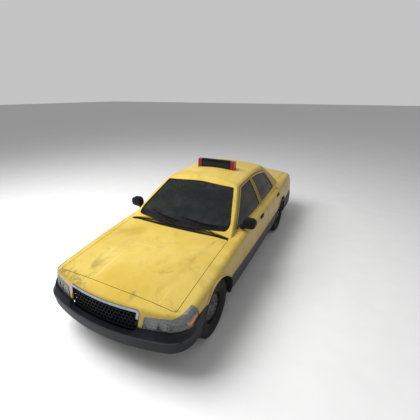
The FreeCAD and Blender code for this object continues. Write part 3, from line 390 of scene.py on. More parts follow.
tarnished_bright = worn_metal("tarnished_bright", (0.33, 0.37, 0.42), (0.12, 0.125, 0.13), 0.28)
wheel_steel = worn_metal("wheel_steel", (0.022, 0.022, 0.024), (0.06, 0.052, 0.042), 0.5, 0.4)
tarnished_dark = worn_metal("tarnished_dark", (0.16, 0.17, 0.185), (0.07, 0.07, 0.07), 0.38, 0.7)
silvered = worn_metal("silvered", (0.72, 0.74, 0.76), (0.35, 0.35, 0.34), 0.04, 1.0, 0.15)
lamp_silver = worn_metal("lamp_silver", (0.30, 0.31, 0.32), (0.06, 0.06, 0.057), 0.34, 0.4, 0.95, 16)
cover_grey = worn_metal("cover_grey", (0.11, 0.115, 0.125), (0.035, 0.033, 0.03), 0.42, 0.7)
bare_steel = worn_metal("bare_steel", (0.42, 0.41, 0.39), (0.16, 0.10, 0.06), 0.38)
engine_iron = worn_metal("engine_iron", (0.10, 0.10, 0.10), (0.03, 0.024, 0.018), 0.5, 0.6)
exhaust_steel = worn_metal("exhaust_steel", (0.11, 0.095, 0.08), (0.06, 0.038, 0.024), 0.5, 0.5)
fin_aluminium = worn_metal("fin_aluminium", (0.20, 0.20, 0.21), (0.07, 0.06, 0.05), 0.5, 0.8)
print("metals ready")

# %% [markdown]
# ## Glass and lenses
#
# Real glass lets one see the seats and the far pillars. A Principled shader with a low alpha gives a
# thin tinted pane that still mirrors the sky. Side glass is dark grey; the windscreen is clearer, and
# both carry a film of dust in clouds.

# %% Glass
GLASS_DUST = (0.30, 0.30, 0.28)


def glass(name, tint, alpha, dust_alpha, rough=0.03, film_share=0.10):
    """A thin pane: mostly see-through, tinted, with a light film of dust."""
    finish = Finish(name, IOR=1.5, Specular_IOR_Level=0.45)
    film = finish.noise(2.6, 6, 0.7).ramp(0.38, 0.8)
    finish.feed(Base_Color=finish.mix(film * film_share, tint, GLASS_DUST),
                Roughness=rough + film * 0.10, Alpha=alpha + film * dust_alpha)
    finish.material.surface_render_method = "BLENDED"
    return finish.material


glass_tinted = glass("glass_tinted", (0.006, 0.007, 0.009), 0.90, 0.04)
glass_clear = glass("glass_clear", (0.016, 0.020, 0.020), 0.42, 0.10)
lens_clear = glass("lens_clear", (0.22, 0.225, 0.23), 0.40, 0.36, 0.14, 0.35)


def lens(name, colour, dusty):
    """Moulded coloured plastic: small prisms under a glossy face, with dust in clouds."""
    finish = Finish(name, Coat_Weight=0.5, Specular_IOR_Level=0.6)
    film = finish.noise(6, 5, 0.6).ramp(0.42, 0.8)
    finish.feed(Base_Color=finish.mix(film * 0.22, colour, dusty), Roughness=0.16 + film * 0.3)
    return finish.bump(finish.cells(140), 0.0008).material


lens_red = lens("lens_red", (0.21, 0.004, 0.004), (0.20, 0.07, 0.06))
lens_frosted = lens("lens_frosted", (0.62, 0.63, 0.62), (0.34, 0.34, 0.32))
lens_amber = lens("lens_amber", (0.55, 0.17, 0.012), (0.36, 0.26, 0.16))
print("glass ready")

# %% [markdown]
# ## Finishes for the frame's own nodes
#
# Every node keeps its mesh and gets the finish of the material slot that the record gives it. Panels
# that reach down the sides take the two-colour paint.

# %% Assign finishes to the frame's nodes
FINISH_OF_SLOT = {
    "paint_yellow": taxi_paint, "trim_charcoal": trim_charcoal, "glass_tinted": glass_tinted,
    "glass_clear": glass_clear, "lamp_clear": lens_clear, "lamp_red": lens_red,
    "grille_chrome": tarnished_bright, "steel_black": chassis_black, "floor_paint": underseal,
    "engine_iron": engine_iron, "radiator_metal": fin_aluminium, "exhaust_steel": exhaust_steel,
    "tyre_rubber": tyre_rubber,
    "seat_vinyl": seat_vinyl, "interior_plastic": interior_plastic, "lamp_amber": lens_amber,
}
BANDED = ("body_side", "fender", "door_front", "door_rear")
for entry in record["subparts"]:
    name = entry["node"]
    finish = side_paint if name.startswith(BANDED) else FINISH_OF_SLOT[entry["material_slot"]]
    wear(nodes[name], finish)
print("finished", len(record["subparts"]), "nodes")

# %% [markdown]
# ## Modelling helpers
#
# The pieces below are modelled as by hand: a primitive or a copy of a panel, faces chosen by place or
# normal, then edit-mode operators, then a modifier that is applied. These few helpers keep the cells
# short. `close_up` ends every piece: its place goes into its mesh, doubles are merged, faces point
# outwards, and it rides on the body that carries it.

# %% Choosing, editing and closing up
MERGE = 0.00002  # corners nearer than this are one


def only(obj):
    deselect()
    bpy.context.view_layer.objects.active = obj
    obj.select_set(True)


def edit(obj, kind="FACE"):
    only(obj)
    bpy.ops.object.mode_set(mode="EDIT")
    bpy.ops.mesh.select_mode(type=kind)
    bpy.ops.mesh.select_all(action="SELECT")


def leave():
    bpy.ops.object.mode_set(mode="OBJECT")


def settle():
    """Puts the selected piece's place, turn and size into its mesh."""
    bpy.ops.object.transform_apply(location=True, rotation=True, scale=True)


def choose(obj, test, kind="FACE"):
    """In edit mode, selects the faces (centre, normal), edges (two ends) or corners that pass a test."""
    bpy.ops.mesh.select_mode(type=kind)
    bpy.ops.mesh.select_all(action="DESELECT")
    mesh = bmesh.from_edit_mesh(obj.data)
    if kind == "FACE":
        picked = [face for face in mesh.faces if test(face.calc_center_median(), face.normal)]
    elif kind == "EDGE":
        picked = [edge for edge in mesh.edges if test(edge.verts[0].co, edge.verts[1].co)]
    else:
        picked = [corner for corner in mesh.verts if test(corner.co)]
    for item in picked:
        item.select_set(True)
    bmesh.update_edit_mesh(obj.data)
    return len(picked)


def applied(obj, kind, **settings):
    """Adds a modifier and applies it."""
    only(obj)
    modifier = obj.modifiers.new(kind.lower(), kind)
    for name, value in settings.items():
        setattr(modifier, name, value)
    bpy.ops.object.modifier_apply(modifier=modifier.name)
    return obj


def push(step):
    """In edit mode, extrudes what is selected by a step."""
    bpy.ops.mesh.extrude_region_move(TRANSFORM_OT_translate={"value": step})


def cut_along(place, way, **settings):
    """In edit mode, cuts every face along a plane."""
    bpy.ops.mesh.select_all(action="SELECT")
    bpy.ops.mesh.bisect(plane_co=place, plane_no=way, **settings)


def inset_and_push(obj, test, margin, step):
    """Insets the faces that pass a test and pushes the middle by a step."""
    edit(obj)
    choose(obj, test)
    bpy.ops.mesh.inset(thickness=margin)
    push(step)
    leave()
    return obj


def close_up(obj, name, body, material, smooth=35, outwards=True):
    """Ends a piece; outwards is off where its faces already point the right way."""
    only(obj)
    settle()
    edit(obj)
    bpy.ops.mesh.remove_doubles(threshold=MERGE)
    if outwards:
        bpy.ops.mesh.normals_make_consistent(inside=False)
    leave()
    bpy.ops.object.shade_smooth_by_angle(angle=math.radians(smooth))
    obj.name = obj.data.name = name
    wear(obj, material)
    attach(obj, body)
    return obj


SIDES = {"left": 1, "right": -1}
print("helpers ready")

# %% [markdown]
# Four ways of starting a piece cover most of the cab. A *block* is a cube with rounded edges, a *chain*
# is one corner extruded from point to point, a *turned* piece is a chain spun round an axle, and a
# *skin* is part of a panel's own surface, cut free, so that a moulding follows the panel exactly.

# %% Starting a piece
def block(low, high, rounding=0.004, segments=2):
    middle = [(a + b) / 2 for a, b in zip(low, high)]
    bpy.ops.mesh.primitive_cube_add(size=1, location=middle, scale=[b - a for a, b in zip(low, high)])
    obj = bpy.context.object
    only(obj)
    settle()
    edit(obj, "EDGE")
    bpy.ops.mesh.bevel(offset=rounding, segments=segments, affect="EDGES")
    leave()
    return obj


def chain(points):
    """Edges through the points, drawn by extruding one corner."""
    deselect()
    bpy.ops.mesh.primitive_plane_add(size=0.01, location=points[0])
    obj = bpy.context.object
    settle()
    edit(obj, "VERT")
    bpy.ops.mesh.merge(type="CENTER")
    for start, end in zip(points, points[1:]):
        push(tuple(Vector(end) - Vector(start)))
    leave()
    return obj


def turned(profile, centre, steps=64):
    """Spins (across, radius) points round the axle along X through centre."""
    x, y, z = centre
    obj = chain([(x + across, y, z + radius) for across, radius in profile])
    edit(obj, "VERT")
    bpy.ops.mesh.spin(steps=steps, angle=math.tau, center=centre, axis=(1, 0, 0))
    bpy.ops.mesh.select_all(action="SELECT")
    bpy.ops.mesh.remove_doubles(threshold=MERGE)
    bpy.ops.mesh.normals_make_consistent(inside=False)
    leave()
    return obj


def tube(points, radius):
    """A round bar along a chain of points."""
    obj = chain(points)
    only(obj)
    bpy.ops.object.convert(target="CURVE")
    obj = bpy.context.object
    obj.data.bevel_depth = radius
    obj.data.bevel_resolution = 3
    obj.data.use_fill_caps = True
    bpy.ops.object.convert(target="MESH")
    return bpy.context.object


def copy_of(node):
    """A merged copy of a frame node's mesh, free to be edited."""
    only(nodes[node])
    bpy.ops.object.duplicate()
    obj = bpy.context.object
    bpy.ops.object.parent_clear(type="CLEAR_KEEP_TRANSFORM")
    settle()
    edit(obj)
    bpy.ops.mesh.remove_doubles(threshold=MERGE)
    leave()
    return obj


def skin(node, keep, cuts=()):
    """The faces of a node that pass a test of centre and normal, cut first along planes."""
    obj = copy_of(node)
    edit(obj)
    for place, way in cuts:
        cut_along(place, way)
    choose(obj, lambda centre, normal: not keep(centre, normal))
    bpy.ops.mesh.delete(type="FACE")
    leave()
    return obj


def planes(axis, *places):
    """Cutting planes across an axis, 0, 1 or 2, at the given places."""
    way = tuple(float(k == axis) for k in range(3))
    return [(tuple(place * part for part in way), way) for place in places]


def rim(obj, width):
    """Keeps only a rim of that width along the edges of a sheet."""
    edit(obj)
    bpy.ops.mesh.inset(thickness=width, use_boundary=True)
    bpy.ops.mesh.delete(type="FACE")
    leave()
    return obj


def moulding(sheet, thickness, name, body, material, offset=1):
    """Ends a sheet with a wall that grows outwards from its surface, or inwards at an offset of -1."""
    sheet = applied(sheet, "SOLIDIFY", thickness=thickness, offset=offset)
    return close_up(sheet, name, body, material, outwards=False)


print("starting shapes ready")

# %% [markdown]
# ## The hood
#
# The real pressing has a low raised centre: two soft creases run back from the grille's corners and
# spread towards the windscreen pillars. It could be a new surface, but the frame's hood already fits
# its gaps, so a copy is cut along the creases and its middle is lifted six millimetres, with a narrow
# ramp on each side. The lift fades out over the front of the hood, where it meets the nose panel.

# %% Hood with its two creases
CREASE_FRONT, CREASE_REAR = (0.50, -2.36), (0.70, -1.10)  # x and y of its two ends
RAMP, RISE = 0.022, 0.006
FADE = (-2.345, -2.20)  # y where the lift starts and where it is whole
EXTRA_ROWS = (-1.9, -1.6, -1.3)  # y of cuts that keep the long faces short
NEAR = 0.001  # how near a corner counts as on a line


def crease_x(y, inwards=0.0):
    """How far from the middle a crease is at that y."""
    share = (y - CREASE_FRONT[1]) / (CREASE_REAR[1] - CREASE_FRONT[1])
    return CREASE_FRONT[0] + (CREASE_REAR[0] - CREASE_FRONT[0]) * share - inwards


hood = copy_of("hood")
only(hood)
bpy.ops.mesh.customdata_custom_splitnormals_clear()
edit(hood)
slope = (CREASE_REAR[0] - CREASE_FRONT[0]) / (CREASE_REAR[1] - CREASE_FRONT[1])
for side in (1, -1):
    for inwards in (0.0, RAMP):
        cut_along((side * crease_x(-2.0, inwards), -2.0, 0.9), (side, -slope, 0))
for place, way in planes(1, *FADE, *EXTRA_ROWS):
    cut_along(place, way)
lifted = choose(hood, lambda p: p.y > FADE[1] - NEAR and abs(p.x) < crease_x(p.y, RAMP) + NEAR, "VERT")
bpy.ops.transform.translate(value=(0, 0, RISE))
leave()
hood = close_up(hood, "hood_panel", "hood", taxi_paint, smooth=24, outwards=False)
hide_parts("hood")
print("hood:", lifted, "corners lifted")

# %% [markdown]
# ## Tyres
#
# A road tyre is a ring with bulging walls, four grooves round it, and short cuts across its ribs. The
# section, grooves and all, is drawn as a chain of points and spun round the axle. The cuts across come
# after: the edges that cross each rib are bevelled into narrow faces, and those are pushed in.

# %% Tyre
HUB_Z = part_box("tyre_front_left")[1][2] / 2
TREAD_RADIUS, TREAD_HALF = HUB_Z, 0.098
GROOVE_DEEP, CUT_DEEP = 0.007, 0.005
CUT_WIDE = 0.0034  # faces narrower than this are cuts
CROWN = TREAD_RADIUS - 0.006  # what lies further out than this is on a rib
GROOVES = [(0.056, 0.065), (0.018, 0.026)]  # how far across each groove starts and ends
TYRE_WALL = [(0.080, 0.2045), (0.094, 0.2130), (0.106, 0.2260), (0.1155, 0.2520), (0.1168, 0.2750),
             (0.1145, 0.3020), (0.1135, 0.3030), (0.1085, 0.3270), (0.1045, 0.3400)]


def tyre_section():
    """Half a section from the bead out to the middle of the tread, then its mirror image."""
    half = list(TYRE_WALL) + [(TREAD_HALF, TREAD_RADIUS - 0.0055)]
    for near, far in GROOVES:
        crown = TREAD_RADIUS - 0.0025 * (far / TREAD_HALF) ** 2
        floor_of_groove = crown - GROOVE_DEEP
        half += [(far, crown), (far - 0.001, floor_of_groove), (near + 0.001, floor_of_groove), (near, crown)]
    return half + [(-across, radius) for across, radius in reversed(half)]


def crosses_rib(a, b):
    return min(math.hypot(p.y, p.z) for p in (a, b)) > CROWN and abs(a.x - b.x) > 0.006


def tyre():
    """A tyre round the origin."""
    section = tyre_section()
    obj = turned(section + section[:1], (0, 0, 0), steps=84)
    edit(obj, "EDGE")
    choose(obj, crosses_rib, "EDGE")
    bpy.ops.mesh.bevel(offset=0.0016, segments=1, affect="EDGES")
    bpy.ops.mesh.select_mode(type="FACE")
    mesh = bmesh.from_edit_mesh(obj.data)
    for face in mesh.faces:
        out = face.calc_center_median()
        narrow = min(edge.calc_length() for edge in face.edges) < CUT_WIDE
        face.select_set(math.hypot(out.y, out.z) > CROWN and narrow and face.calc_area() > CUT_WIDE * 0.005)
    bmesh.update_edit_mesh(obj.data)
    bpy.ops.mesh.extrude_region_shrink_fatten(TRANSFORM_OT_shrink_fatten={"value": -CUT_DEEP})
    leave()
    return obj


WHEELS = [(end, side_name, side) for end in ("front", "rear") for side_name, side in SIDES.items()]
wheel_middle = {}
for end, side_name, side in WHEELS:
    low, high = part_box(f"tyre_{end}_{side_name}")
    wheel_middle[end, side_name] = tuple((a + b) / 2 for a, b in zip(low, high))

first_tyre = tyre()


def placed_copy(source, place, turn=0.0):
    """A copy with its own mesh, moved and turned about X so that no two tyres look alike."""
    only(source)
    bpy.ops.object.duplicate()
    obj = bpy.context.object
    obj.rotation_euler = (turn, 0, 0)
    obj.location = place
    return obj


for number, (end, side_name, side) in enumerate(WHEELS):
    obj = placed_copy(first_tyre, wheel_middle[end, side_name], 0.4 * number)
    obj = close_up(obj, f"road_tyre_{end}_{side_name}", f"wheel_{end}_{side_name}", tyre_rubber, 32)
    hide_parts(f"tyre_{end}_{side_name}")
bpy.data.objects.remove(first_tyre)
print("tyres:", len(obj.data.polygons), "faces each")

# %% [markdown]
# ## Wheel covers
#
# The black steel wheels carry a grey disc cover with a ring of oval holes, a raised middle and five
# nuts. The cover is a spun dish; its holes are pairs of faces, inset and pushed through towards the
# wheel; a nut is a six-sided cylinder with its outer face inset and raised.

# %% Wheel cover with nuts and a cap
COVER = [(0.058, 0.150), (0.064, 0.152), (0.068, 0.146), (0.069, 0.128), (0.066, 0.098), (0.062, 0.080),
         (0.066, 0.070), (0.078, 0.062), (0.082, 0.046), (0.082, 0.030), (0.088, 0.026), (0.0885, 0.0005)]
HOLE_COUNT, COVER_STEPS = 12, 72
NUT_COUNT, NUT_CIRCLE, NUT_OUT = 5, 0.054, 0.086


def on_hole(centre, normal):
    angle = math.degrees(math.atan2(centre.y, centre.z)) % (360 / HOLE_COUNT)
    return 0.10 < math.hypot(centre.y, centre.z) < 0.13 and angle < 360 / HOLE_COUNT * 0.5


def wheel_cover(side):
    obj = turned([(side * across, radius) for across, radius in COVER], (0, 0, 0), COVER_STEPS)
    inset_and_push(obj, on_hole, 0.004, (-side * 0.010, 0, 0))
    return applied(obj, "SOLIDIFY", thickness=0.0016, offset=-1)


def wheel_nut(angle, side):
    place = (side * NUT_OUT, NUT_CIRCLE * math.sin(angle), NUT_CIRCLE * math.cos(angle))
    deselect()
    bpy.ops.mesh.primitive_cylinder_add(
        vertices=6, radius=0.0105, depth=0.018, location=place, rotation=(0, math.pi / 2, 0))
    obj = bpy.context.object
    settle()
    edit(obj)
    choose(obj, lambda centre, normal: normal.x * side > 0.9)
    bpy.ops.mesh.inset(thickness=0.0028)
    push((side * 0.003, 0, 0))
    bpy.ops.transform.resize(value=(1, 0.7, 0.7))
    leave()
    return obj


def joined(pieces):
    only(pieces[0])
    for piece in pieces[1:]:
        piece.select_set(True)
    bpy.ops.object.join()
    return bpy.context.object


for end, side_name, side in WHEELS:
    middle = wheel_middle[end, side_name]
    cover = wheel_cover(side)
    cover.location = middle
    close_up(cover, f"wheel_cover_{end}_{side_name}", f"wheel_{end}_{side_name}", cover_grey, 30)
    nuts = joined([wheel_nut(math.tau * k / NUT_COUNT, side) for k in range(NUT_COUNT)])
    nuts.location = middle
    close_up(nuts, f"wheel_nuts_{end}_{side_name}", f"wheel_{end}_{side_name}", bare_steel, 25)
print("wheel covers: 4, with", NUT_COUNT * 4, "nuts")

# %% [markdown]
# ## Seals and mouldings
#
# Rubber seals hold the glass and thin black edges run round the door frames. Drawn as free strips they
# would float or sink, so each is a skin: the panel's or pane's own faces, cut to a band or inset to a
# rim, with a wall a few millimetres thick.

# %% Glass seals
SEAL_WIDE, SCREEN_SEAL_WIDE, SEAL_PROUD = 0.013, 0.019, 0.003


def faces_up(centre, normal):
    return normal.z > 0.2


def outer_side(centre, normal, side):
    return normal.x * side > 0.3


for name in ("windscreen", "rear_window"):
    moulding(rim(skin(name, faces_up), SCREEN_SEAL_WIDE), SEAL_PROUD, f"{name}_seal", "body", seal_rubber)
for side_name, side in SIDES.items():
    for door in ("front", "rear"):
        pane = skin(f"door_glass_{door}_{side_name}", lambda c, n: outer_side(c, n, side))
        moulding(rim(pane, SEAL_WIDE), SEAL_PROUD, f"window_seal_{door}_{side_name}",
                 f"door_{door}_{side_name}", seal_rubber)
print("seals: 2 on the body, 4 on the doors")

# %% Black base of the windscreen
BAND_HIGH = 1.012  # the glass is black below this height, where it is bonded to the cowl
band = skin("windscreen", lambda c, n: faces_up(c, n) and c.z < BAND_HIGH, planes(2, BAND_HIGH))
moulding(band, 0.0015, "windscreen_band", "body", trim_black)
print("windscreen band up to", BAND_HIGH)

# %% Door frame edges
BELT_LINES = {"front": ((0, -0.862, 0.948), 0.0067), "rear": ((0, 0.290, 0.956), 0.0194)}  # start, slope
EDGING_WIDE = 0.0065
for side_name, side in SIDES.items():
    for door, (start, slope) in BELT_LINES.items():
        way, foot = Vector((0, -slope, 1)), Vector(start)
        body = f"door_{door}_{side_name}"
        face = skin(body, lambda c, n: outer_side(c, n, side) and way.dot(c - foot) > 0, [(foot, way)])
        edging = rim(face, EDGING_WIDE)
        edit(edging)
        choose(edging, lambda c, n: way.dot(c - foot) < EDGING_WIDE + 0.0001)  # the strip on the cut itself
        bpy.ops.mesh.delete(type="FACE")
        leave()
        moulding(edging, 0.0015, f"frame_edging_{door}_{side_name}", body, seal_rubber)
print("door frame edges: 4")

# %% [markdown]
# ## Divider bar in the rear doors
#
# The rear door's glass is in two panes, because the wheel arch leaves no room to wind down one wide
# pane. An upright bar stands between them. It is the band of the pane's own skin between two upright
# planes, thickened, so it leans and curves with the glass.

# %% Divider bars
DIVIDER_Y, DIVIDER_HALF, DIVIDER_LEAN = 0.955, 0.011, 0.12
way = Vector((0, 1, DIVIDER_LEAN)).normalized()
near, far = (Vector((0, DIVIDER_Y + half, 1.0)) for half in (-DIVIDER_HALF, DIVIDER_HALF))
for side_name, side in SIDES.items():
    def on_bar(centre, normal):
        return outer_side(centre, normal, side) and way.dot(centre - near) > 0 > way.dot(centre - far)

    bar = skin(f"door_glass_rear_{side_name}", on_bar, [(near, way), (far, way)])
    moulding(bar, 0.005, f"window_divider_{side_name}", f"door_rear_{side_name}", tarnished_dark)
print("divider bars: 2")

# %% [markdown]
# ## Bumper strips
#
# A narrow rubbing strip runs round each bumper along its most forward line. It is a band of the
# bumper's outer skin between two heights, let in so that it stands just proud.

# %% Rubbing strips
STRIPS = {"bumper_front": (0.508, 0.526, -1), "bumper_rear": (0.470, 0.488, 1)}  # from, to, way out
for name, (low, high, way) in STRIPS.items():
    def on_strip(centre, normal):
        outer = normal.y * way > 0.15 or normal.x * math.copysign(1, centre.x) > 0.5
        beside = abs(centre.x) > 0.90 or centre.y * way > 2.45
        return low < centre.z < high and outer and beside

    strip = skin(name, on_strip, planes(2, low, high))
    moulding(strip, 0.004, f"{name}_strip", "body", scuffed_grey, offset=-0.9)
print("rubbing strips: 2")

# %% [markdown]
# ## Door handles and locks
#
# Each handle is a flap over a shallow dish. The flap is a rounded block whose ends are drawn in; the
# dish is a thin rounded block with its face inset and pushed back. Both are placed where a line from
# outside meets the door, and turned to lean with it. A round lock sits behind the front handles.

# %% Door handles
HANDLES = {"front": (-0.075, 0.862), "rear": (1.015, 0.868)}  # y and z of the middle


def touch(node, start, way):
    """Where a line first meets a node, and the normal there."""
    place, normal = nodes[node].ray_cast(Vector(start), Vector(way))[1:3]
    return place, normal


def leaning(obj, place, normal, side):
    """Puts a piece that was modelled flat against the plane x = 0 on a leaning side."""
    obj.rotation_euler = (0, -side * math.atan2(normal.z, normal.x * side), 0)
    obj.location = place
    return obj


def sided_block(low, high, rounding, segments, side):
    """A block that is mirrored on the right-hand side."""
    obj = block(low, high, rounding, segments)
    if side < 0:
        only(obj)
        bpy.ops.transform.mirror(constraint_axis=(True, False, False))
        settle()
    return obj


def handle_dish(side):
    obj = sided_block((-0.002, -0.086, -0.024), (0.0035, 0.086, 0.024), 0.0015, 2, side)
    step = (-side * 0.003, 0, 0)
    return inset_and_push(obj, lambda c, n: n.x * side > 0.9 and abs(c.x) > 0.003, 0.005, step)


def handle_flap(side):
    obj = sided_block((-0.004, -0.074, -0.017), (0.011, 0.074, 0.010), 0.004, 3, side)
    edit(obj, "VERT")
    choose(obj, lambda p: p.x * side > 0.004 and abs(p.y) > 0.066, "VERT")
    bpy.ops.transform.translate(value=(-side * 0.004, 0, 0))
    leave()
    return obj


LOCK = [(0.0, 0.0105), (0.004, 0.0105), (0.0055, 0.009), (0.0055, 0.007), (0.004, 0.0062), (0.004, 0.0004)]
LOCK_BEHIND = 0.112  # from the front handle's middle
for side_name, side in SIDES.items():
    for door, (y, z) in HANDLES.items():
        body = f"door_{door}_{side_name}"
        place, normal = touch(body, (side * 2, y, z), (-side, 0, 0))
        for name, shape, finish in (("dish", handle_dish, trim_charcoal), ("flap", handle_flap, trim_black)):
            piece = leaning(shape(side), place, normal, side)
            close_up(piece, f"handle_{name}_{door}_{side_name}", body, finish)
    y, z = HANDLES["front"]
    place, normal = touch(f"door_front_{side_name}", (side * 2, y + LOCK_BEHIND, z), (-side, 0, 0))
    lock = turned([(side * across, radius) for across, radius in LOCK], place, 24)
    close_up(lock, f"door_lock_{side_name}", f"door_front_{side_name}", bare_steel)
print("handles: 4, locks: 2")

# %% [markdown]
# ## Mirror glass
#
# The flat back of each mirror head holds a silvered pane in a narrow lip: the head's rear faces, drawn
# in about their own middle. An inset would run wild on their thin triangles.

# %% Mirror glass
def shrunk(obj, across, upwards):
    """Draws a flat sheet that faces along Y in about its middle."""
    corners = [corner.co for corner in obj.data.vertices]
    middle = [(min(c[k] for c in corners) + max(c[k] for c in corners)) / 2 for k in range(3)]
    edit(obj, "VERT")
    bpy.ops.transform.resize(value=(across, 1, upwards), center_override=middle)
    leave()
    return obj


for side_name, side in SIDES.items():
    pane = shrunk(skin(f"mirror_{side_name}", lambda c, n: n.y > 0.9 and abs(c.x) > 0.86), 0.90, 0.86)
    moulding(pane, 0.0015, f"mirror_pane_{side_name}", f"door_front_{side_name}", silvered)
print("mirror panes: 2")

# %% [markdown]
# ## Wipers
#
# Two wipers rest along the foot of the windscreen. Each has an arm that rises from the cowl and a
# blade that lies on the glass. Points on the glass come from lines dropped on to it, so the blades
# follow its curve.

# %% Wipers
WIPERS = {"left": (0.60, 0.03), "right": (0.02, -0.54)}  # x at the arm's foot and at the blade's far end
BLADE_FROM, BLADE_TO, BLADE_STEPS = 0.990, 1.030, 8  # height of the two ends of a blade


def on_glass(x, height, lift):
    """A point on the windscreen's outside at that x and height."""
    place, normal = touch("windscreen", (x, -3, height), (0, 1, 0))
    return place + normal * lift


def along_glass(start, end, lift):
    """Points along a blade, that far off the glass."""
    rise = BLADE_TO - BLADE_FROM
    return [on_glass(start + (end - start) * k / BLADE_STEPS, BLADE_FROM + rise * k / BLADE_STEPS, lift)
            for k in range(BLADE_STEPS + 1)]


def wiper(start, end, name):
    """The rubber on the glass, the blade that holds it, and the arm from the cowl."""
    close_up(tube(along_glass(start, end, 0.006), 0.0032), f"wiper_rubber_{name}", "body", seal_rubber)
    back = along_glass(start, end, 0.0125)
    holder = chain(back)
    edit(holder, "EDGE")
    push((0, -0.004, 0.009))
    leave()
    applied(holder, "SOLIDIFY", thickness=0.0022, offset=0)
    close_up(holder, f"wiper_blade_{name}", "body", trim_black)
    middle, foot = back[BLADE_STEPS // 2], Vector((start, -1.135, 0.952))
    elbow = foot.lerp(middle, 0.35) + Vector((0, 0, 0.012))
    arm = [foot, foot + Vector((-0.01, 0.01, 0.016)), elbow, middle + Vector((0, -0.004, 0.006))]
    close_up(tube(arm, 0.0052), f"wiper_arm_{name}", "body", trim_black)


for side_name, (start, end) in WIPERS.items():
    wiper(start, end, side_name)
print("wipers: 2")

# %% [markdown]
# ## Headlamps
#
# A lamp is a clear moulded cover over a silvered bowl. The frame's solid lamp has the right outline,
# so its outer faces become the cover, a few millimetres thick, and its other faces become the housing
# behind. Bowls are turned round an axle and then faced forwards, each with a bulb in its middle.

# %% Headlamp covers, housings and bowls
def lamp_front(centre, normal):
    side = math.copysign(1, centre.x)
    return normal.y < 0.25 and normal.x * side > -0.55 and abs(normal.z) < 0.86


def faced(obj, way, place):
    """Turns a piece made round X so that its +X end looks back, or forwards where way is -1."""
    obj.rotation_euler = (0, 0, way * math.pi / 2)
    obj.location = place
    return obj


cover = moulding(skin("headlamps", lamp_front), 0.003, "headlamp_covers", "body", lens_clear, offset=-1)
housing = moulding(skin("headlamps", lambda c, n: not lamp_front(c, n)), 0.002, "headlamp_housings", "body",
                   lamp_silver, offset=-1)
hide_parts("headlamps")
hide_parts("headlamps")
BOWL = [(0.0, 0.058), (-0.004, 0.056), (-0.018, 0.046), (-0.030, 0.030), (-0.036, 0.012), (-0.036, 0.0004)]
BULB = [(-0.036, 0.009), (-0.020, 0.009), (-0.018, 0.006), (-0.006, 0.006), (-0.003, 0.004), (-0.002, 0.0004)]
BOWLS = [(0.600, -2.440, 0.672, 0.80), (0.745, -2.400, 0.676, 1.0)]  # x, y, z, scale
for side_name, side in SIDES.items():
    for number, (x, y, z, scale) in enumerate(BOWLS):
        for name, profile, finish in (("bowl", BOWL, lamp_silver), ("bulb", BULB, lens_frosted)):
            obj = turned([(a * scale, r * scale) for a, r in profile], (0, 0, 0), 40)
            obj = faced(obj, -1, (side * x, y, z))
            close_up(obj, f"headlamp_{name}_{side_name}_{number}", "body", finish, outwards=False)
AMBER_FROM = -2.335  # y where the side repeaters turn from clear to amber
repeaters = []
for name, finish, cleared in (("amber", lens_amber, "clear_inner"), ("clear", lens_clear, "clear_outer")):
    repeater = copy_of("marker_lamps")
    edit(repeater)
    cut_along((0, AMBER_FROM, 0), (0, 1, 0), use_fill=True, **{cleared: True})
    leave()
    repeaters.append(close_up(repeater, f"{name}_repeaters", "body", finish, outwards=False))
for repeater in repeaters:
    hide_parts("marker_lamps")
print("headlamps: 2 covers, 4 bowls, 2 repeaters")

# %% [markdown]
# ## Tail lamps
#
# Each cluster is red with a clear reversing lamp low on its inner side. Narrow ribs cross it.
# Ribs and reversing lamps are bands of the lamp's own rear face, a few millimetres proud.

# %% Tail lamp ribs and reversing lamps
RIB_HEIGHTS, RIB_HALF = (0.715, 0.760, 0.805, 0.850), 0.003
REVERSE_ACROSS, REVERSE_HIGH = (0.60, 0.72), (0.665, 0.712)  # from and to


def lamp_rear(centre, normal):
    return normal.y > 0.45


def reversing(centre, normal):
    beside = REVERSE_ACROSS[0] < abs(centre.x) < REVERSE_ACROSS[1]
    return lamp_rear(centre, normal) and beside and REVERSE_HIGH[0] < centre.z < REVERSE_HIGH[1]


for number, height in enumerate(RIB_HEIGHTS):
    rib = skin("tail_lamps", lambda c, n: lamp_rear(c, n) and abs(c.z - height) < RIB_HALF,
               planes(2, height - RIB_HALF, height + RIB_HALF))
    moulding(rib, 0.003, f"tail_lamp_rib_{number}", "body", lens_red)
edges = [side * x for side in (1, -1) for x in REVERSE_ACROSS]
clear = skin("tail_lamps", reversing, planes(0, *edges) + planes(2, *REVERSE_HIGH))
moulding(clear, 0.0025, "reversing_lamps", "body", lens_frosted)
print("tail lamps dressed")

# %% [markdown]
# ## Grille depths
#
# Behind the honeycomb a real cab has a dark radiator support. Without it daylight would show through
# the cells. It is a sheet with folded edges: a block with its front face inset and pushed back. Below
# it a level deflector with two cheeks closes the way for light from under the bumper.

# %% Radiator support and air deflector
support = block((-0.452, -2.408, 0.505), (0.452, -2.372, 0.742), 0.003)
inset_and_push(support, lambda c, n: n.y < -0.9, 0.03, (0, 0.028, 0))
close_up(support, "radiator_support", "body", trim_black)
deflector = block((-0.52, -2.550, 0.455), (0.52, -2.300, 0.467), 0.004)
cheeks = [block((x - 0.004, -2.455, 0.455), (x + 0.004, -2.365, 0.742), 0.002) for x in (-0.458, 0.458)]
close_up(joined([deflector, *cheeks]), "air_deflector", "body", trim_black)
print("radiator support behind the grille")

# %% [markdown]
# ## Wheel houses
#
# Above each tyre a real cab has a black wheel house that closes the arch from the engine bay or the
# trunk. At the front the frame's aprons stop short of the fender, so a narrow band is enough; at the
# rear the band has an inner wall too. Each is a profile turned round the axle and cut off at its foot.

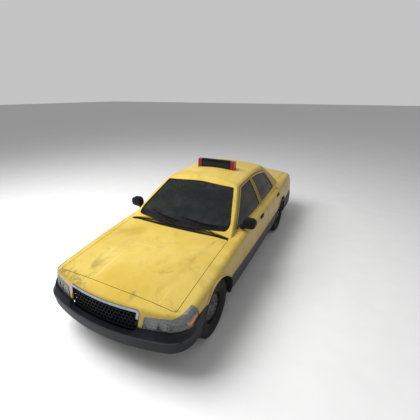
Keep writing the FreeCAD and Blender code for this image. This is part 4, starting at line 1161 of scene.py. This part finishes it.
# %% Wheel houses
HOUSE_RADIUS, HOUSE_FOOT = 0.416, 0.30
HOUSE_PROFILES = {
    "front": [(0.898, HOUSE_RADIUS), (0.945, HOUSE_RADIUS)],
    "rear": [(0.690, 0.20), (0.690, HOUSE_RADIUS), (0.930, HOUSE_RADIUS)],
}
for (end, side_name), middle in wheel_middle.items():
    side = SIDES[side_name]
    house = turned([(side * x, radius) for x, radius in HOUSE_PROFILES[end]], (0, middle[1], middle[2]), 96)
    edit(house)
    cut_along((0, 0, HOUSE_FOOT), (0, 0, 1), clear_inner=True)
    leave()
    applied(house, "SOLIDIFY", thickness=0.003, offset=0)
    close_up(house, f"wheel_house_{end}_{side_name}", "body", underseal)
print("wheel houses:", len(wheel_middle))

# %% [markdown]
# ## Roof sign
#
# The sign is a dark moulded box with a smoked pane at its front and back and a red lamp at each end.
# The panes are left blank. Each is the box's own face drawn in, and a raised lip is the face's rim.
# Three upright ribs cross the front and back of each lamp.

# %% Sign panes, lips and lamp ribs
LAMP_RIBS, LAMP_RIB_HALF = (0.288, 0.306, 0.324), 0.0025


def sign_face(way):
    return skin("roof_sign", lambda c, n: n.y * way > 0.8)


for name, way in (("front", -1), ("rear", 1)):
    moulding(shrunk(sign_face(way), 0.94, 0.74), 0.0012, f"sign_pane_{name}", "body", smoked)
    moulding(rim(sign_face(way), 0.010), 0.003, f"sign_lip_{name}", "body", trim_black)
for side_name, side in SIDES.items():
    for number, x in enumerate(side * place for place in LAMP_RIBS):
        band = skin("sign_lamps", lambda c, n: abs(n.y) > 0.5 and abs(c.x - x) < LAMP_RIB_HALF,
                    planes(0, x - LAMP_RIB_HALF, x + LAMP_RIB_HALF))
        moulding(band, 0.0015, f"sign_lamp_rib_{side_name}_{number}", "body", lens_red)
print("sign dressed")

# %% [markdown]
# ## Fuel flap and trunk lock
#
# The fuel flap shows only as a thin dark gap in the left rear quarter: a square of the panel's skin,
# reduced to its rim. The trunk has a round lock above the bumper.

# %% Fuel flap and trunk lock
FLAP_Y, FLAP_Z, FLAP_HALF = 1.86, 0.76, 0.075


def on_flap(centre, normal):
    return normal.x > 0.5 and abs(centre.y - FLAP_Y) < FLAP_HALF and abs(centre.z - FLAP_Z) < FLAP_HALF


flap = skin("body_side_left", on_flap, planes(1, FLAP_Y - FLAP_HALF, FLAP_Y + FLAP_HALF)
            + planes(2, FLAP_Z - FLAP_HALF, FLAP_Z + FLAP_HALF))
moulding(rim(flap, 0.0028), 0.0008, "fuel_flap_gap", "body", seal_rubber)
place, normal = touch("trunk_lid", (0, 3, 0.80), (0, -1, 0))
lock = faced(turned([(across * 1.2, radius * 1.3) for across, radius in LOCK], (0, 0, 0), 28),
             1, place - Vector((0, 0.002, 0)))
close_up(lock, "trunk_lock", "trunk_lid", bare_steel)
print("fuel flap and trunk lock")

# %% [markdown]
# ## Seats
#
# Worn vinyl seats are foam in a tight cover: their faces crown, their sides pull in, and stitched
# channels hold the cover down. A block would look like a block, so each cushion is remeshed finely and
# its cover is blown up a little by cloth simulation, with how far it may move capped. The channels are
# pressed in afterwards, because a remesh would close them.

# %% Blown-up cushions
STUFFING, STEPS = 4.0, 20  # pressure, and frames of simulation


def stuffed(obj, voxel=0.021, most=0.014):
    """A cushion from a block: remeshed, blown up, capped, and divided once."""
    applied(obj, "REMESH", mode="VOXEL", voxel_size=voxel)
    before = [corner.co.copy() for corner in obj.data.vertices]
    only(obj)
    cloth = obj.modifiers.new("stuffing", "CLOTH")
    cloth.settings.quality = 3
    cloth.settings.use_pressure = True
    cloth.settings.uniform_pressure_force = STUFFING
    cloth.settings.effector_weights.gravity = 0
    for step in range(1, STEPS + 1):
        bpy.context.scene.frame_set(step)
    bpy.ops.object.modifier_apply(modifier=cloth.name)
    bpy.context.scene.frame_set(1)
    for corner, old in zip(obj.data.vertices, before):
        moved = corner.co - old
        if moved.length > most:
            corner.co = old + moved.normalized() * most
    return applied(obj, "SUBSURF", levels=1, render_levels=1)


CHANNEL_DEEP, CHANNEL_WIDE = 0.008, 0.012


def channels(obj, axis, places, face):
    """Presses stitched channels into a cushion's face where it crosses the given places along an axis."""
    for corner in obj.data.vertices:
        if face(corner.co, corner.normal):
            for place in places:
                share = math.exp(-((corner.co[axis] - place) / CHANNEL_WIDE) ** 2)
                corner.co -= corner.normal * CHANNEL_DEEP * share
    obj.data.update()
    return obj


def tilted(obj, angle, pivot):
    """Leans a cushion back about a level line across the cab."""
    only(obj)
    settle()
    edit(obj, "VERT")
    bpy.ops.transform.rotate(value=angle, orient_axis="X", center_override=pivot)
    leave()
    return obj


print("cushion helpers ready")

# %% Front seats
SEAT_MIDDLE = 0.445
CUSHION = ((-0.225, -0.500, 0.440), (0.225, 0.030, 0.545))
BACK = ((-0.205, 0.045, 0.500), (0.205, 0.135, 1.060))
HEAD = ((-0.105, 0.205, 1.105), (0.105, 0.265, 1.240))
BACK_LEAN, BENCH_LEAN = math.radians(-12), math.radians(-18)


def seat_set():
    """One front seat's cushion, back and head restraint, about the middle of the seat."""
    cushion = channels(stuffed(block(*CUSHION, 0.030, 3)), 0, (-0.125, 0.125), lambda p, n: n.z > 0.3)
    channels(cushion, 1, (-0.34, -0.18, -0.02), lambda p, n: n.z > 0.3 and abs(p.x) < 0.13)
    back = channels(stuffed(block(*BACK, 0.030, 3)), 0, (-0.120, 0.120), lambda p, n: n.y < -0.3)
    channels(back, 2, (0.66, 0.80, 0.94), lambda p, n: n.y < -0.3 and abs(p.x) < 0.125)
    back = tilted(back, BACK_LEAN, (0, 0.09, 0.52))
    head = stuffed(block(*HEAD, 0.024, 3), voxel=0.016, most=0.008)
    return {"cushion": cushion, "back": back, "head_restraint": head}


first_seat = seat_set()
for side_name, side in SIDES.items():
    for name, source in first_seat.items():
        pad = placed_copy(source, (side * SEAT_MIDDLE, 0, 0))
        pad = close_up(pad, f"front_seat_{name}_{side_name}", "body", seat_vinyl, 60)
        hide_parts("front_seats")
for source in first_seat.values():
    bpy.data.objects.remove(source)

# %% Seat frames
for side_name, side in SIDES.items():
    x = side * SEAT_MIDDLE
    pan = block((x - 0.205, -0.470, 0.330), (x + 0.205, 0.040, 0.435), 0.012, 2)
    edit(pan)
    choose(pan, lambda c, n: abs(n.y) > 0.9)
    bpy.ops.mesh.inset(thickness=0.02)
    bpy.ops.mesh.extrude_region_shrink_fatten(TRANSFORM_OT_shrink_fatten={"value": -0.008})
    leave()
    close_up(pan, f"seat_pan_{side_name}", "body", interior_plastic)
    runners = joined([block((x + across - 0.016, -0.42, 0.276), (x + across + 0.016, 0.0, 0.334), 0.004)
                      for across in (-0.16, 0.16)])
    close_up(runners, f"seat_runners_{side_name}", "body", chassis_black)
    posts = joined([tube([(x + across, 0.205, 1.03), (x + across, 0.232, 1.13)], 0.006)
                    for across in (-0.05, 0.05)])
    close_up(posts, f"head_restraint_posts_{side_name}", "body", bare_steel)
    for piece in (pan, runners, posts):
        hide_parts("front_seats")
print("front seats: 2")

# %% Rear bench
BENCH = ((-0.640, 0.660, 0.470), (0.640, 1.190, 0.580))
BENCH_BACK = ((-0.615, 1.250, 0.560), (0.615, 1.345, 0.945))
BENCH_CHANNELS = (-0.45, -0.22, 0.0, 0.22, 0.45)
bench = channels(stuffed(block(*BENCH, 0.034, 3), voxel=0.030), 0, BENCH_CHANNELS, lambda p, n: n.z > 0.3)
bench_back = stuffed(block(*BENCH_BACK, 0.034, 3), voxel=0.030)
channels(bench_back, 0, BENCH_CHANNELS, lambda p, n: n.y < -0.3)
bench_back = tilted(bench_back, BENCH_LEAN, (0, 1.30, 0.58))
plinth = block((-0.640, 0.670, 0.446), (0.640, 1.190, 0.485), 0.010)
shelf = block((-0.620, 1.30, 0.550), (0.620, 1.475, 0.600), 0.010)
for name, obj in (("bench_cushion", bench), ("bench_back", bench_back)):
    obj = close_up(obj, name, "body", seat_vinyl, 60)
    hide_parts("rear_seat")
for name, obj in (("bench_plinth", plinth), ("bench_support", shelf)):
    obj = close_up(obj, name, "body", interior_plastic)
    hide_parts("rear_seat")
print("rear bench: cushion and back")

# %% [markdown]
# ## Cab inside
#
# Through the glass one sees the dash, its hooded dials, a fare meter and the inner mirror. Dials are
# plain discs in a hooded pod; the meter is a rounded box with a blank window; the mirror hangs from
# the screen on a short stalk.

# %% Instrument pod, meter and inner mirror
HOODED = {  # the block's corners, rounding and segments; the window's margin and depth; the finish
    "instrument_pod": (((0.215, -0.945, 0.872), (0.525, -0.785, 0.955), 0.022, 3), 0.012, 0.045,
                       interior_plastic),
    "fare_meter": (((-0.085, -0.880, 0.874), (0.085, -0.780, 0.935), 0.010, 2), 0.010, 0.004, trim_black),
    "inner_mirror": (((-0.125, -0.425, 1.235), (0.125, -0.400, 1.295), 0.010, 3), 0.004, 0.003, trim_black),
}
for name, (shape, margin, deep, finish) in HOODED.items():
    case = block(*shape)
    inset_and_push(case, lambda c, n: n.y > 0.9, margin, (0, -deep, 0))
    close_up(case, name, "body", finish)
DIAL = [(0.0, 0.030), (0.003, 0.030), (0.003, 0.027), (0.001, 0.026), (0.001, 0.0004)]
for number, x in enumerate((0.285, 0.37, 0.455)):
    dial = faced(turned(DIAL, (0, 0, 0), 32), 1, (x, -0.835, 0.913))
    close_up(dial, f"dial_{number}", "body", tarnished_bright, outwards=False)
stalk = tube([on_glass(0.0, 1.325, -0.008), (0, -0.425, 1.29), (0, -0.42, 1.27)], 0.006)
close_up(stalk, "inner_mirror_stalk", "body", trim_black)
print("cab inside dressed")

# %% [markdown]
# ## The floor's finish
#
# The floor is matt and pale. A faint cloudiness keeps it from looking like a sheet of paper.

# %% Pale floor
FLOOR_PALE, FLOOR_PALER = (0.76, 0.76, 0.76), (0.78, 0.78, 0.78)
pale_floor = Finish("pale_floor", Roughness=0.9)
pale_floor.feed(Base_Color=pale_floor.mix(pale_floor.noise(3, 2).ramp(0.3, 0.7), FLOOR_PALE, FLOOR_PALER))
wear(floor, pale_floor.material)
print("floor:", pale_floor.material.name)
